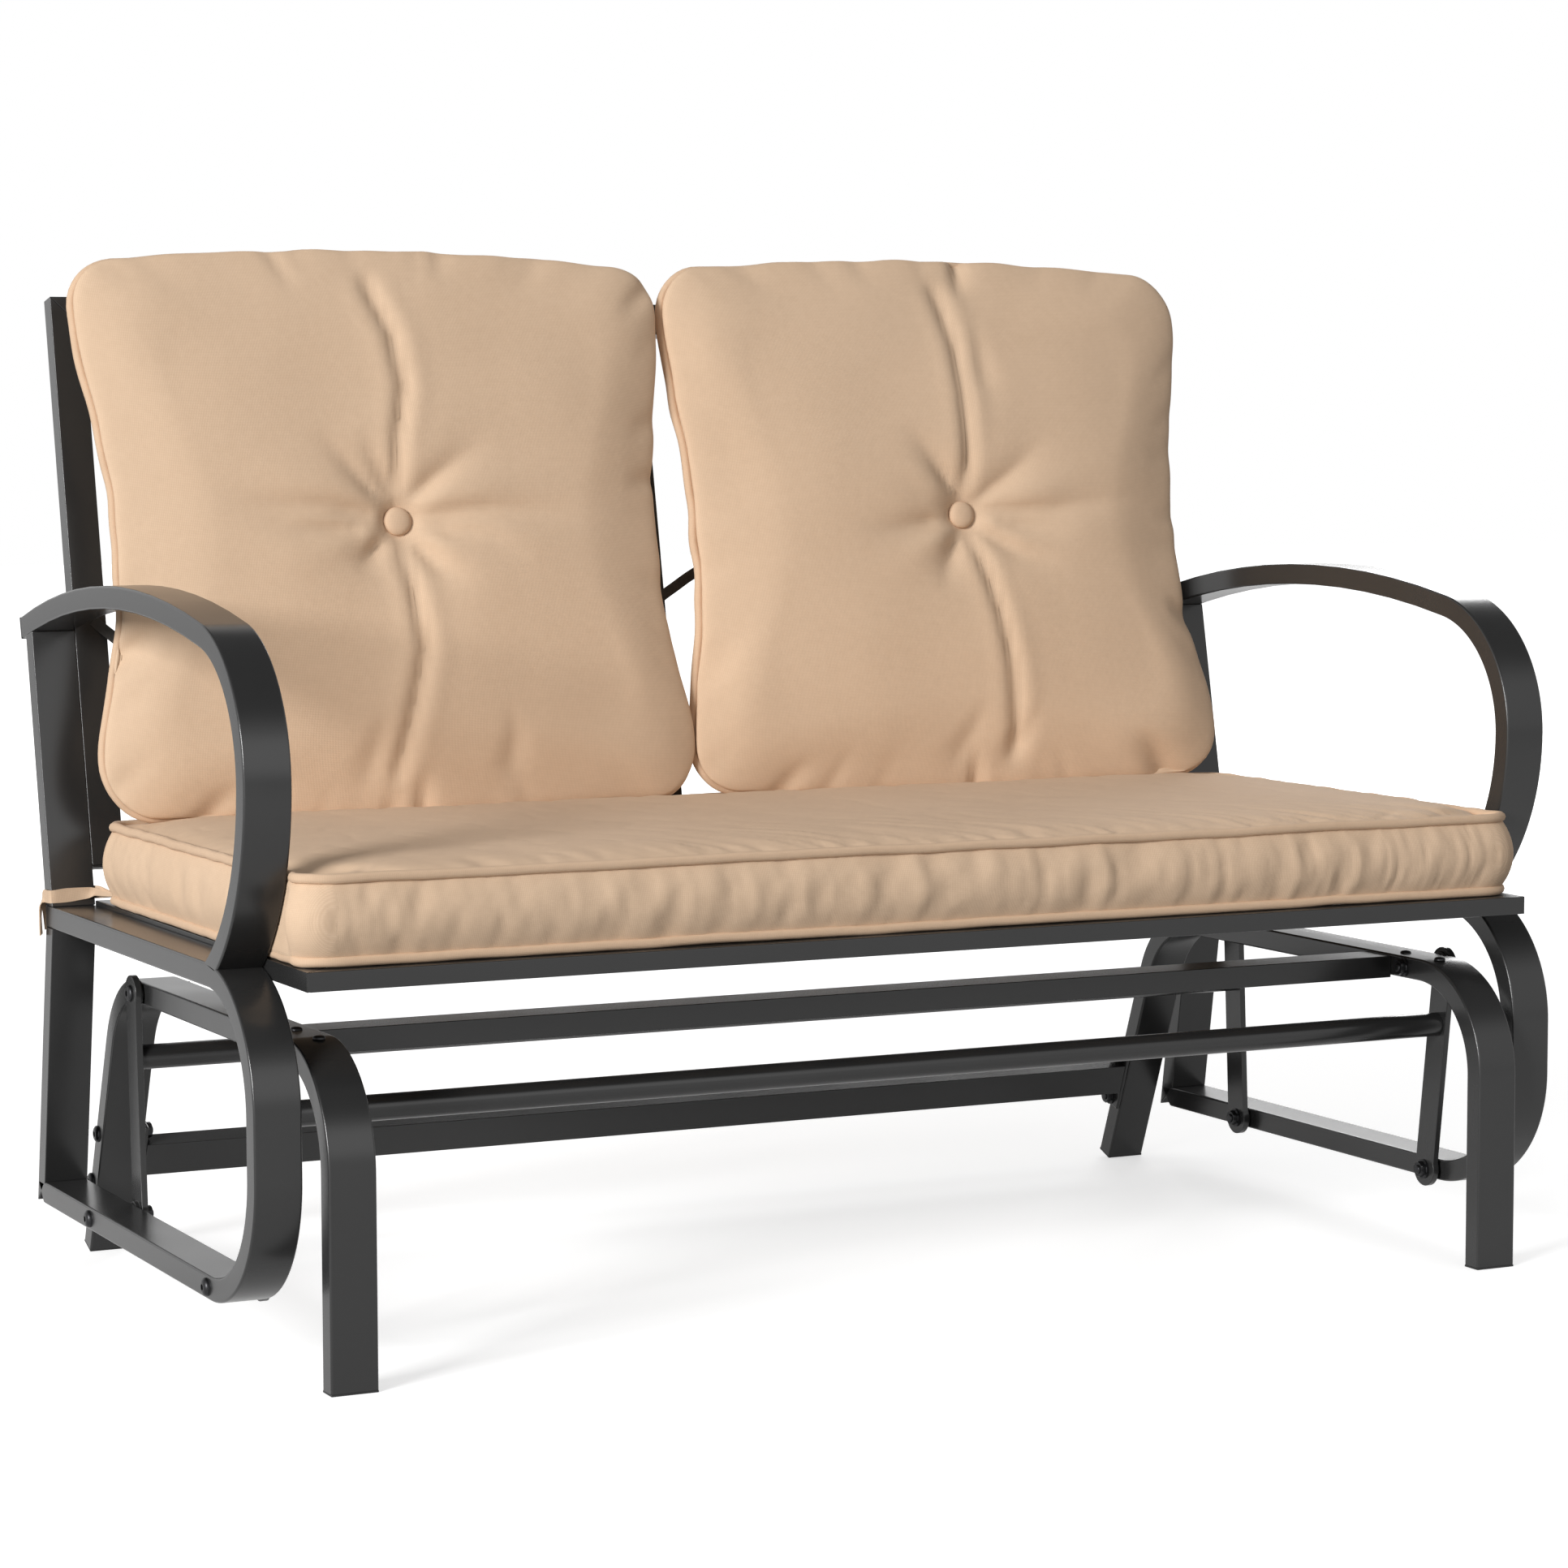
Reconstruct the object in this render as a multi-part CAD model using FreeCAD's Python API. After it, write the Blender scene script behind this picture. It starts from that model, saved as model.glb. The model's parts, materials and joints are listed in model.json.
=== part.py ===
import FreeCAD, Part

import math
import os

from FreeCAD import Placement, Rotation, Vector

# Glider bench for two, in millimetres.
# X runs across the bench, Y from front to back and Z up from the floor.
# A fixed base of two bent side frames carries the seat on four swinging links.
# The left side is the one at -X, and left pieces are mirrored from right ones.

# Place of the bench
# Y is measured from the front face of the front legs, and the finished pieces
# are moved forward by half the depth, so the origin lies under the middle.
depth_to_middle = 351.4

# Rectangular tube of the base and of the seat sides
tube_width = 40.0
tube_depth = 20.0
tube_wall = 1.5

# Base side frames
base_inner = 527.0
base_height = 272.0
base_bend = 88.0
foot_span = 649.0
rear_leg_splay = 21.5

# Base cross rails
front_rail_y = 140.5
front_rail_drop = 2.0
rear_rail_height = 91.0
rear_rail_face = 32.0
end_plate_thick = 4.0
end_plate_length = 70.0

# Links and their pivots
rail_to_link = 3.0
link_thick = 6.0
link_to_seat = 4.0
link_width = 27.5
link_eye = 16.0
pivot_drop = 10.0
rear_pivot_y = 483.3
front_pivot_y = 120.9
rear_link_back = -11.1
front_link_back = 25.3
link_tube_radius = 11.0
link_tube_drop = 57.0
pivot_play = 0.2

# The front links run free on their lower bolts, because the four-bar linkage is not
# quite as even as the straight ratios that couple its joints
open_pivot_play = 1.5

# Hubs of the link eyes, pivot bolts and nuts
hub_radius = 12.0
bolt_radius = 4.0
bolt_play = 0.2
head_radius = 7.6
head_crown = 4.8
pivot_head_height = 3.4
seat_head_height = 4.0
nut_width = 13.0
nut_height = 6.5

# Seat sides
seat_rail_top = 332.0
seat_bulge_y = 23.2
seat_bulge_bend = 104.0
lower_rail_bottom = 56.0
lower_corner_y = 633.5

# Back plane, through the front faces of the posts and of the upper uprights
back_foot_y = 502.8
back_lean = 11.585

# Armrests, as three arcs along their upper side, the last of which reaches the
# underside of the seat rail at the foot
arm_apex_y = 366.0
arm_apex_height = 626.0
arm_top_radius = 1168.0
arm_nose_radius = 126.0
arm_front_y = 37.2
arm_foot_y = 135.3
arm_rear_y = 659.0

# Seat frame under the cushion
seat_frame_y = 8.2
seat_frame_rise = 4.0
seat_frame_height = 16.0
seat_frame_width = 25.0
seat_frame_wall = 1.2
seat_frame_to_back = 1.0
support_bar_count = 5
support_bar_width = 25.0
support_bar_height = 12.0

# Back frame
post_width = 30.0
post_above_rail = 33.0
post_top = 880.0
centre_post_width = 20.0
bottom_rail_height = 25.0
bottom_rail_above_foot = 8.0

# Plugs in the open tube ends
plug_flange = 2.0
plug_depth = 15.0
plug_play = 0.2

# Seat cushion
seat_cushion_side_gap = 12.0
seat_cushion_front_y = 28.0
seat_cushion_to_back = 28.0
seat_cushion_boxing = 73.0
seat_cushion_crown = 10.0
seat_crown_ledge = 10.0
seat_crown_run = 130.0

# Back cushions
back_cushion_gap = 6.0
back_cushion_side_gap = 11.0
back_cushion_rest = 3.6
back_cushion_height = 512.0
back_seam_level = 74.0
back_shoulder_level = 30.0
back_shoulder_inset = 12.0
back_rear_inset = 42.0
back_cushion_crown = 42.0
back_crown_lip = 3.0

# Shape of the cushions
cushion_corner = 32.0
seat_boxing_draw = 9.0
back_side_draw = 24.0
tuft_radius = 15.0
tuft_depth = 22.0
tuft_slope = 1.8
button_radius = 13.5
button_height = 7.0
soft_play = 0.3

# Ties of the seat cushion
tie_width = 14.0
tie_thick = 1.5
tie_tail = 40.0

OUT = "parts"
os.makedirs(OUT, exist_ok=True)

# Values that follow from the ones above
running_bore = bolt_radius + bolt_play
open_bore = running_bore + open_pivot_play
base_outer = base_inner + tube_width
link_inner = base_outer + rail_to_link
link_outer = link_inner + link_thick
seat_inner = link_outer + link_to_seat
seat_outer = seat_inner + tube_width
half_depth = tube_depth / 2
lean = math.radians(back_lean)
splay = math.radians(rear_leg_splay)
pivot_height = base_height - pivot_drop
lower_pivot_height = lower_rail_bottom + half_depth
post_inner = seat_inner - post_width


def point(y, z):
    """Point of a side view."""
    return Vector(0, y, z)


def direction(angle):
    """Unit vector of a side view, turned up from the rearward direction."""
    return point(math.cos(angle), math.sin(angle))


def left_of(start, end):
    """Unit vector square to a run, on its left."""
    run = end - start
    run.normalize()
    return point(-run.z, run.y)


def mitre(points, index, shift):
    """Corner of a bent line moved sideways by a distance, and the turn there."""
    before = left_of(*points[index - 1:index + 1]) if index > 0 else left_of(*points[:2])
    after = left_of(*points[index:index + 2]) if index < len(points) - 1 else before
    moved = points[index] + (before + after) * (shift / (1 + before.dot(after)))
    return moved, before.cross(after).x


def side(points, radii, shift, first, last):
    """Edges of a bent line moved sideways, with a tangent arc at each bend."""
    corners = [mitre(points, index, shift) for index in range(first, last + 1)]
    start = corners[0][0]
    edges = []
    for step in range(1, len(corners) - 1):
        corner, turn = corners[step]
        sense = 1 if turn > 0 else -1
        radius = radii[first + step] - sense * shift
        back = (corners[step - 1][0] - corner).normalize()
        ahead = (corners[step + 1][0] - corner).normalize()
        half = back.getAngle(ahead) / 2
        reach = radius / math.tan(half)
        inward = (back + ahead).normalize()
        arc_start = corner + back * reach
        arc_end = corner + ahead * reach
        arc_middle = corner + inward * (radius / math.sin(half) - radius)
        edges.append(Part.LineSegment(start, arc_start).toShape())
        edges.append(Part.Arc(arc_start, arc_middle, arc_end).toShape())
        start = arc_end
    edges.append(Part.LineSegment(start, corners[-1][0]).toShape())
    return edges


def face_of(edges):
    """Flat face inside a closed run of edges given in any order."""
    return Part.Face(Part.Wire(Part.__sortEdges__(edges)))


def joined(edges, others):
    """Flat face between two runs of edges that go the same way."""
    start = Part.LineSegment(first_point(edges), first_point(others)).toShape()
    end = Part.LineSegment(last_point(edges), last_point(others)).toShape()
    return face_of(edges + others + [start, end])


def first_point(edges):
    """Start of a run of edges."""
    return edges[0].valueAt(edges[0].FirstParameter)


def last_point(edges):
    """End of a run of edges."""
    return edges[-1].valueAt(edges[-1].LastParameter)


def across(face, start, width):
    """Solid of a side-view face that runs along X."""
    return face.translated(Vector(start, 0, 0)).extrude(Vector(width, 0, 0))


def tube(points, radii, first, last, start, width, depth, wall):
    """Rectangular tube along part of a bent line, mitred where the line goes on."""
    inset = depth / 2 - wall
    skin = joined(side(points, radii, depth / 2, first, last), side(points, radii, -depth / 2, first, last))
    core = joined(side(points, radii, inset, first, last), side(points, radii, -inset, first, last))
    return across(skin, start, width).cut(across(core, start + wall, width - 2 * wall))


def straight(start_point, end_point, start, width, depth):
    """Solid bar along a straight run of a side view."""
    run = [start_point, end_point]
    return across(joined(side(run, [], depth / 2, 0, 1), side(run, [], -depth / 2, 0, 1)), start, width)


def rod(centre, radius, start, length):
    """Round bar along X about a point of a side view."""
    return Part.makeCylinder(radius, length, centre + Vector(start, 0, 0), Vector(1, 0, 0))


def mirrored(shape):
    """The same piece on the left side."""
    return shape.mirror(Vector(0, 0, 0), Vector(1, 0, 0))


def both(shapes):
    """Right-hand pieces followed by their left-hand copies."""
    return shapes + [mirrored(shape) for shape in shapes]


def save(name, shapes):
    """Write one sub-part, moved so that the origin lies under the middle of the bench."""
    piece = shapes[0] if len(shapes) == 1 else Part.makeCompound(shapes)
    piece.translated(Vector(0, -depth_to_middle, 0)).exportStep(os.path.join(OUT, name + ".step"))


def save_sides(name, shape):
    """Write a piece of the right side and its mirrored copy."""
    save(name + "_right", [shape])
    save(name + "_left", [mirrored(shape)])


def block(low, high):
    """Box between two corners."""
    size = high - low
    return Part.makeBox(size.x, size.y, size.z, low)


def below(height):
    """Everything around the seat side under a height."""
    return block(Vector(link_inner, 0, 0), Vector(seat_outer + tube_width, 2 * foot_span, height))


def above(height):
    """Everything around the seat side over a height."""
    return block(Vector(link_inner, 0, height), Vector(seat_outer + tube_width, 2 * foot_span, 2 * post_top))


def plug(end, inward, start, width, depth, wall):
    """Plastic plug in an open tube end: a flange over the wall and a stem inside it."""
    neck = end + inward * plug_flange
    inset = wall + plug_play
    flange = straight(end, neck, start, width, depth)
    stem = straight(neck, end + inward * plug_depth, start + inset, width - 2 * inset, depth - 2 * inset)
    return flange.fuse(stem)


def bolt(centre, head, grip, head_height):
    """Bolt along X, with a coned head outside the bench and its shank running inwards."""
    shank = rod(centre, bolt_radius, head - grip, grip)
    place = centre + Vector(head, 0, 0)
    return shank.fuse(Part.makeCone(head_radius, head_crown, head_height, place, Vector(1, 0, 0)))


def nut(centre, seat):
    """Closed hexagon nut along X, which meets its seat and the end of the bolt."""
    corner = nut_width / 2 / math.cos(math.pi / 6)
    rim = [centre + direction(step * math.pi / 3) * corner for step in range(7)]
    return across(Part.Face(Part.makePolygon(rim)), seat - nut_height, nut_height)


def arc(centre, radius, start, end):
    """Arc of a side view between two angles."""
    ends = [centre + direction(angle) * radius for angle in (start, (start + end) / 2, end)]
    return Part.Arc(*ends).toShape()


# Base side frames, bent from one tube each, with a plug in each foot

leg_up = direction(math.pi / 2 + splay)
leg_back = direction(splay)
front_foot = point(half_depth, 0)
rear_foot = point(foot_span, 0) + leg_back * half_depth


def on_rear_leg(height):
    """Point of the rear leg's middle line at a height."""
    return rear_foot + leg_up * ((height - rear_foot.z) / leg_up.z)


base_line = [
    front_foot + point(0, plug_flange),
    point(half_depth, pivot_height),
    on_rear_leg(pivot_height),
    rear_foot + leg_up * plug_flange,
]
base_radii = [0, base_bend, base_bend, 0]
rear_pivot = point(rear_pivot_y, pivot_height)
front_pivot = point(front_pivot_y, pivot_height)

base_side = tube(base_line, base_radii, 0, 3, base_inner, tube_width, tube_depth, tube_wall)
for centre in (rear_pivot, front_pivot):
    base_side = base_side.cut(rod(centre, running_bore, base_inner, tube_width))
save_sides("base_side", base_side)

foot_plugs = [
    plug(front_foot, point(0, 1), base_inner, tube_width, tube_depth, tube_wall),
    plug(rear_foot, leg_up, base_inner, tube_width, tube_depth, tube_wall),
]
save("foot_plugs", both(foot_plugs))

# Base cross rails: the front one lies flat and is welded in, the rear one leans with
# the rear legs and is bolted to them through welded end plates


def cross_rail(middle, along, face, half_length):
    """Rectangular tube along X, with its wide face along a direction."""
    reach = along * (face / 2)
    inset = along * tube_wall
    skin = straight(middle - reach, middle + reach, -half_length, 2 * half_length, tube_depth)
    core = straight(
        middle - reach + inset,
        middle + reach - inset,
        -half_length,
        2 * half_length,
        tube_depth - 2 * tube_wall,
    )
    return skin.cut(core)


front_rail_middle = point(front_rail_y + tube_width / 2, pivot_height - front_rail_drop)
save("base_front_rail", [cross_rail(front_rail_middle, point(1, 0), tube_width, base_inner)])

plate_inner = base_inner - end_plate_thick
rear_rail_middle = on_rear_leg(rear_rail_height)
save("base_rear_rail", [cross_rail(rear_rail_middle, leg_up, rear_rail_face, plate_inner)])

plate_reach = leg_up * (end_plate_length / 2)
end_plate = straight(
    rear_rail_middle - plate_reach,
    rear_rail_middle + plate_reach,
    plate_inner,
    end_plate_thick,
    tube_depth,
)
save("base_end_plates", both([end_plate]))

# Top pivots: each bolt passes through a link and the base rail to a nut inside

top_pivots = [rear_pivot, front_pivot]
top_head = link_outer + pivot_play
top_bolts = [bolt(centre, top_head, top_head - base_inner, pivot_head_height) for centre in top_pivots]
save("top_pivot_bolts", both(top_bolts))
save("top_pivot_nuts", both([nut(centre, base_inner) for centre in top_pivots]))

# Swing links: two flat links with round eyes at each end of the bench, joined by a
# round tube, so that each pair swings as one piece

rear_lower_pivot = point(rear_pivot_y + rear_link_back, lower_pivot_height)
front_lower_pivot = point(front_pivot_y + front_link_back, lower_pivot_height)


def link(top, bottom, bottom_bore):
    """Flat bar with a round eye at each end and a hub in each eye.

    The upper hub runs on the base rail and the lower one on the seat side.
    """
    plate = straight(top, bottom, link_inner, link_thick, link_width)
    for eye in (top, bottom):
        plate = plate.fuse(rod(eye, link_eye, link_inner, link_thick))
    upper_hub = rod(top, hub_radius, base_outer + pivot_play, rail_to_link - pivot_play)
    lower_hub = rod(bottom, hub_radius, link_outer, link_to_seat - pivot_play)
    plate = plate.fuse([upper_hub, lower_hub])
    plate = plate.cut(rod(top, running_bore, base_outer, rail_to_link + link_thick))
    plate = plate.cut(rod(bottom, bottom_bore, link_inner, link_thick + link_to_seat))
    return plate.removeSplitter()


def link_tube(top, bottom):
    """Round tube between the two links of a pair."""
    centre = top + (bottom - top) * (link_tube_drop / (top.z - bottom.z))
    skin = rod(centre, link_tube_radius, -link_inner, 2 * link_inner)
    return skin.cut(rod(centre, link_tube_radius - tube_wall, -link_inner, 2 * link_inner))


save_sides("rear_link", link(rear_pivot, rear_lower_pivot, running_bore))
save_sides("front_link", link(front_pivot, front_lower_pivot, open_bore))
save("rear_link_tube", [link_tube(rear_pivot, rear_lower_pivot)])
save("front_link_tube", [link_tube(front_pivot, front_lower_pivot)])

# Seat sides: one tube runs along the seat, round the front and back under the links,
# and a lower upright is mitred to its end and closes the loop

back_slope = math.tan(lean)
upright_depth = tube_depth / math.cos(lean)


def back_plane(height):
    """Y of the back plane at a height."""
    return back_foot_y + height * back_slope


seat_rail_height = seat_rail_top - half_depth
seat_rail_under = seat_rail_top - tube_depth
seat_rail_end = back_plane(seat_rail_top) + upright_depth
lower_lean = math.atan2(lower_corner_y - seat_rail_end, seat_rail_under - lower_rail_bottom)
lower_corner = point(
    lower_corner_y - half_depth * math.tan(lower_lean) - half_depth / math.cos(lower_lean),
    lower_pivot_height,
)
lower_upright_top = point(
    lower_corner.y - (seat_rail_height - lower_pivot_height) * math.tan(lower_lean),
    seat_rail_height,
)
loop_line = [
    point(seat_rail_end - plug_flange, seat_rail_height),
    point(seat_bulge_y + half_depth, seat_rail_height),
    point(seat_bulge_y + half_depth, lower_pivot_height),
    lower_corner,
    lower_upright_top,
]
loop_radii = [0, seat_bulge_bend, seat_bulge_bend, 0, 0]
bottom_pivots = [rear_lower_pivot, front_lower_pivot]

seat_side = tube(loop_line, loop_radii, 0, 3, seat_inner, tube_width, tube_depth, tube_wall)
for centre in bottom_pivots:
    seat_side = seat_side.cut(rod(centre, running_bore, seat_inner, tube_width))
save_sides("seat_side", seat_side)

lower_upright = tube(loop_line, loop_radii, 3, 4, seat_inner, tube_width, tube_depth, tube_wall)
save_sides("seat_lower_upright", lower_upright.cut(above(seat_rail_under)))

# Bottom pivots: each bolt passes through the seat side and a link to a nut inside

bottom_seat = link_inner - pivot_play
bottom_grip = seat_outer - bottom_seat
bottom_bolts = [bolt(centre, seat_outer, bottom_grip, seat_head_height) for centre in bottom_pivots]
save("bottom_pivot_bolts", both(bottom_bolts))
save("bottom_pivot_nuts", both([nut(centre, bottom_seat) for centre in bottom_pivots]))

# Armrests: three arcs that run into each other, from behind the upright over the top
# and round the nose down to the bulge of the seat side

arm_top_centre = point(arm_apex_y, arm_apex_height - arm_top_radius)
nose_y = arm_front_y + arm_nose_radius
nose_rise = math.sqrt((arm_top_radius - arm_nose_radius) ** 2 - (nose_y - arm_apex_y) ** 2)
arm_nose_centre = point(nose_y, arm_top_centre.z + nose_rise)
arm_foot_run = arm_foot_y - arm_front_y
arm_foot_drop = arm_nose_centre.z - seat_rail_under
arm_front_radius = (arm_foot_run ** 2 + arm_foot_drop ** 2) / (2 * arm_foot_run)
arm_front_centre = point(arm_front_y + arm_front_radius, arm_nose_centre.z)
arm_end_angle = math.acos((arm_rear_y - arm_apex_y) / arm_top_radius)
arm_meet_angle = math.atan2(nose_rise, nose_y - arm_apex_y)
arm_foot_angle = math.pi + 2 * math.atan2(arm_foot_run, arm_foot_drop)


def arm_edges(inset):
    """The three arcs of an armrest, moved in from its upper side."""
    return [
        arc(arm_top_centre, arm_top_radius - inset, arm_end_angle, arm_meet_angle),
        arc(arm_nose_centre, arm_nose_radius - inset, arm_meet_angle, math.pi),
        arc(arm_front_centre, arm_front_radius - inset, math.pi, arm_foot_angle),
    ]


arm_skin = joined(arm_edges(0), arm_edges(tube_depth))
arm_core = joined(arm_edges(tube_wall), arm_edges(tube_depth - tube_wall))
armrest = across(arm_skin, seat_inner, tube_width).cut(
    across(arm_core, seat_inner + tube_wall, tube_width - 2 * tube_wall)
)
loop_outside = side(loop_line, loop_radii, -half_depth, 0, 3)
loop_closing = Part.LineSegment(last_point(loop_outside), first_point(loop_outside)).toShape()
armrest = armrest.cut(across(face_of(loop_outside + [loop_closing]), seat_inner, tube_width))
save_sides("armrest", armrest)

# Upper uprights, from the end of the seat side up to the underside of the armrest

upright_low = point(back_plane(seat_rail_under) + upright_depth / 2, seat_rail_under)
upright_high = point(back_plane(arm_apex_height) + upright_depth / 2, arm_apex_height)
upper_upright = tube([upright_low, upright_high], [], 0, 1, seat_inner, tube_width, tube_depth, tube_wall)
under_arm = rod(arm_top_centre, arm_top_radius - tube_depth, seat_inner, tube_width)
save_sides("seat_upper_upright", upper_upright.cut(below(seat_rail_top)).common(under_arm))

arm_inward = direction(arm_end_angle + math.pi / 2)
arm_end = arm_top_centre + direction(arm_end_angle) * (arm_top_radius - half_depth) - arm_inward * plug_flange
side_plugs = [
    plug(point(seat_rail_end, seat_rail_height), point(-1, 0), seat_inner, tube_width, tube_depth, tube_wall),
    plug(arm_end, arm_inward, seat_inner, tube_width, tube_depth, tube_wall),
]
save("side_end_plugs", both(side_plugs))

# Seat frame between the sides, mitred at its corners, with bars from front to back


def laid(shape):
    """Turn a side view into a plan, with its Y along X, its Z along Y and its X upwards."""
    turned = shape.copy()
    turned.Placement = Placement(Vector(0, 0, 0), Rotation(Vector(1, 1, 1), -120)) * turned.Placement
    return turned


seat_frame_top = seat_rail_top + seat_frame_rise
seat_frame_bottom = seat_frame_top - seat_frame_height
seat_frame_end = back_plane(seat_frame_top) - seat_frame_to_back
frame_inset = seat_frame_width / 2
frame_x = seat_inner - frame_inset
frame_front = seat_frame_y + frame_inset
frame_rear = seat_frame_end - frame_inset
frame_line = [
    point(-frame_x, frame_rear),
    point(-frame_x, frame_front),
    point(frame_x, frame_front),
    point(frame_x, frame_rear),
    point(-frame_x, frame_rear),
    point(-frame_x, frame_front),
]


def frame_piece(first):
    """One mitred side of the seat frame."""
    return laid(
        tube(
            frame_line,
            [],
            first,
            first + 1,
            seat_frame_bottom,
            seat_frame_height,
            seat_frame_width,
            seat_frame_wall,
        )
    )


save("seat_front_rail", [frame_piece(1)])
save("seat_rear_rail", [frame_piece(3)])
save_sides("seat_side_rail", frame_piece(2))

bar_pitch = 2 * frame_x / (support_bar_count + 1)
support_bars = []
for number in range(1, support_bar_count + 1):
    bar_x = number * bar_pitch - frame_x
    bar_line = [point(bar_x, frame_front + frame_inset), point(bar_x, frame_rear - frame_inset)]
    support_bars.append(
        laid(
            tube(
                bar_line,
                [],
                0,
                1,
                seat_frame_top - support_bar_height,
                support_bar_height,
                support_bar_width,
                seat_frame_wall,
            )
        )
    )
save("seat_support_bars", support_bars)

# Back frame: posts beside the upper uprights, mitred to the top rail, with a bottom
# rail and a centre post between them. It is drawn upright and leaned with the back.


def leaned(shape):
    """Lean an upright piece whose front face is at Y 0 onto the back plane."""
    turned = shape.copy()
    turned.Placement = (
        Placement(Vector(0, back_foot_y, 0), Rotation(Vector(1, 0, 0), -back_lean)) * turned.Placement
    )
    return turned


def back_piece(points, radii, first, last, width):
    """Rectangular tube of the back frame, drawn in the plane of the back."""
    flat = tube(points, radii, first, last, -tube_depth, tube_depth, width, tube_wall)
    flat.Placement = Placement(Vector(0, 0, 0), Rotation(Vector(0, 0, 1), -90)) * flat.Placement
    return leaned(flat)


post_x = seat_inner - post_width / 2
post_low = (seat_rail_top + post_above_rail) / math.cos(lean)
post_high = post_top / math.cos(lean)
top_rail_middle = post_high - post_width / 2
post_line = [
    point(-post_x, post_low + plug_flange),
    point(-post_x, top_rail_middle),
    point(post_x, top_rail_middle),
    point(post_x, post_low + plug_flange),
]
save_sides("back_post", back_piece(post_line, [], 2, 3, post_width))
save("back_top_rail", [back_piece(post_line, [], 1, 2, post_width)])

bottom_rail_low = post_low + bottom_rail_above_foot
bottom_rail_high = bottom_rail_low + bottom_rail_height
bottom_rail_middle = (bottom_rail_low + bottom_rail_high) / 2
bottom_rail_line = [point(-post_inner, bottom_rail_middle), point(post_inner, bottom_rail_middle)]
centre_post_line = [point(0, bottom_rail_high), point(0, post_high - post_width)]
save("back_bottom_rail", [back_piece(bottom_rail_line, [], 0, 1, bottom_rail_height)])
save("back_centre_post", [back_piece(centre_post_line, [], 0, 1, centre_post_width)])

post_plug = plug(point(post_x, post_low), point(0, 1), -tube_depth, tube_depth, post_width, tube_wall)
post_plug.Placement = Placement(Vector(0, 0, 0), Rotation(Vector(0, 0, 1), -90)) * post_plug.Placement
save("back_post_plugs", both([leaned(post_plug)]))

# Cushions: drawn lying flat, each with a wall of two bands below its upper seam. Two of
# its sides may draw in between their corners.


def outline(width, depth, inset, draw, level):
    """Closed outline of a cushion at a level: round corners, and two sides drawn in."""
    x = width / 2 - inset
    y = depth / 2 - inset
    corner = cushion_corner
    bow = corner * (1 - math.sqrt(0.5))
    arcs = [
        [(x - corner, -y), (x - bow, bow - y), (x, corner - y)],
        [(x, y - corner), (x - bow, y - bow), (x - corner, y)],
        [(corner - x, y), (bow - x, y - bow), (-x, y - corner)],
        [(-x, corner - y), (bow - x, bow - y), (corner - x, -y)],
    ]
    spots = [[Vector(a, b, level) for a, b in corner_arc] for corner_arc in arcs]
    edges = []
    for index, corner_arc in enumerate(spots):
        start = corner_arc[2]
        end = spots[(index + 1) % len(spots)][0]
        middle = (start + end) * 0.5
        edges.append(Part.Arc(*corner_arc).toShape())
        if draw and start.x == end.x:
            inward = math.copysign(draw, -start.x)
            edges.append(Part.Arc(start, middle + Vector(inward, 0, 0), end).toShape())
        else:
            edges.append(Part.LineSegment(start, end).toShape())
    return Part.Wire(edges)


def walls(width, depth, draw, levels):
    """Flat underside and walls of a cushion, through an inset at each level."""
    return Part.makeLoft([outline(width, depth, inset, draw, level) for inset, level in levels], True, True)


def arch(span, length, height):
    """Arch over a span along X, longer than what it will cover and sunk below it."""
    left = Vector(-span / 2, -length, 0)
    right = Vector(span / 2, -length, 0)
    sunk = Vector(0, 0, -height)
    bow = Part.Arc(left, Vector(0, -length, height), right).toShape()
    base = Part.makePolygon([right, right + sunk, left + sunk, left])
    return Part.Face(Part.Wire([bow] + base.Edges)).extrude(Vector(0, 2 * length, 0))


def dome(width, depth, draw, lip, height):
    """Crown of a pillow, which arches both ways and starts a little outside its outline."""
    cross_arch = arch(depth + 2 * lip, width + 2 * lip, height)
    cross_arch.rotate(Vector(0, 0, 0), Vector(0, 0, 1), 90)
    both_arches = arch(width + 2 * lip, depth + 2 * lip, height).common(cross_arch)
    prism = Part.Face(outline(width, depth, 0, draw, 0)).extrude(Vector(0, 0, height))
    return prism.common(both_arches)


def low_crown(width, depth, ledge, run, height):
    """Low crown which slopes up from all four sides, inside a ledge at the seam."""
    x = width / 2 - ledge
    y = depth / 2 - ledge
    crown = Part.makeWedge(-x, 0, -y, run - y, run - x, x, height, y, y - run, x - run)
    crown.rotate(Vector(0, 0, 0), Vector(1, 0, 0), 90)
    return crown


seat_cushion_width = 2 * (seat_inner - seat_cushion_side_gap)
seat_cushion_height = seat_frame_top + soft_play
seat_cushion_rear = back_plane(seat_cushion_height) - seat_cushion_to_back
seat_cushion_depth = seat_cushion_rear - seat_cushion_front_y
seat_cushion_middle = (seat_cushion_front_y + seat_cushion_rear) / 2
seat_levels = [(0, 0), (seat_boxing_draw, seat_cushion_boxing / 2), (0, seat_cushion_boxing)]
seat_cushion = walls(seat_cushion_width, seat_cushion_depth, 0, seat_levels)
seat_crown = low_crown(
    seat_cushion_width,
    seat_cushion_depth,
    seat_crown_ledge,
    seat_crown_run,
    seat_cushion_crown,
)
seat_cushion = seat_cushion.fuse(seat_crown.translated(Vector(0, 0, seat_cushion_boxing)))
save("seat_cushion", [seat_cushion.translated(Vector(0, seat_cushion_middle, seat_cushion_height))])

# Back cushions, widest at their seam and narrower behind it, each pulled in at its
# middle by a button. Their lower seam rests on the seat cushion.

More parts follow.
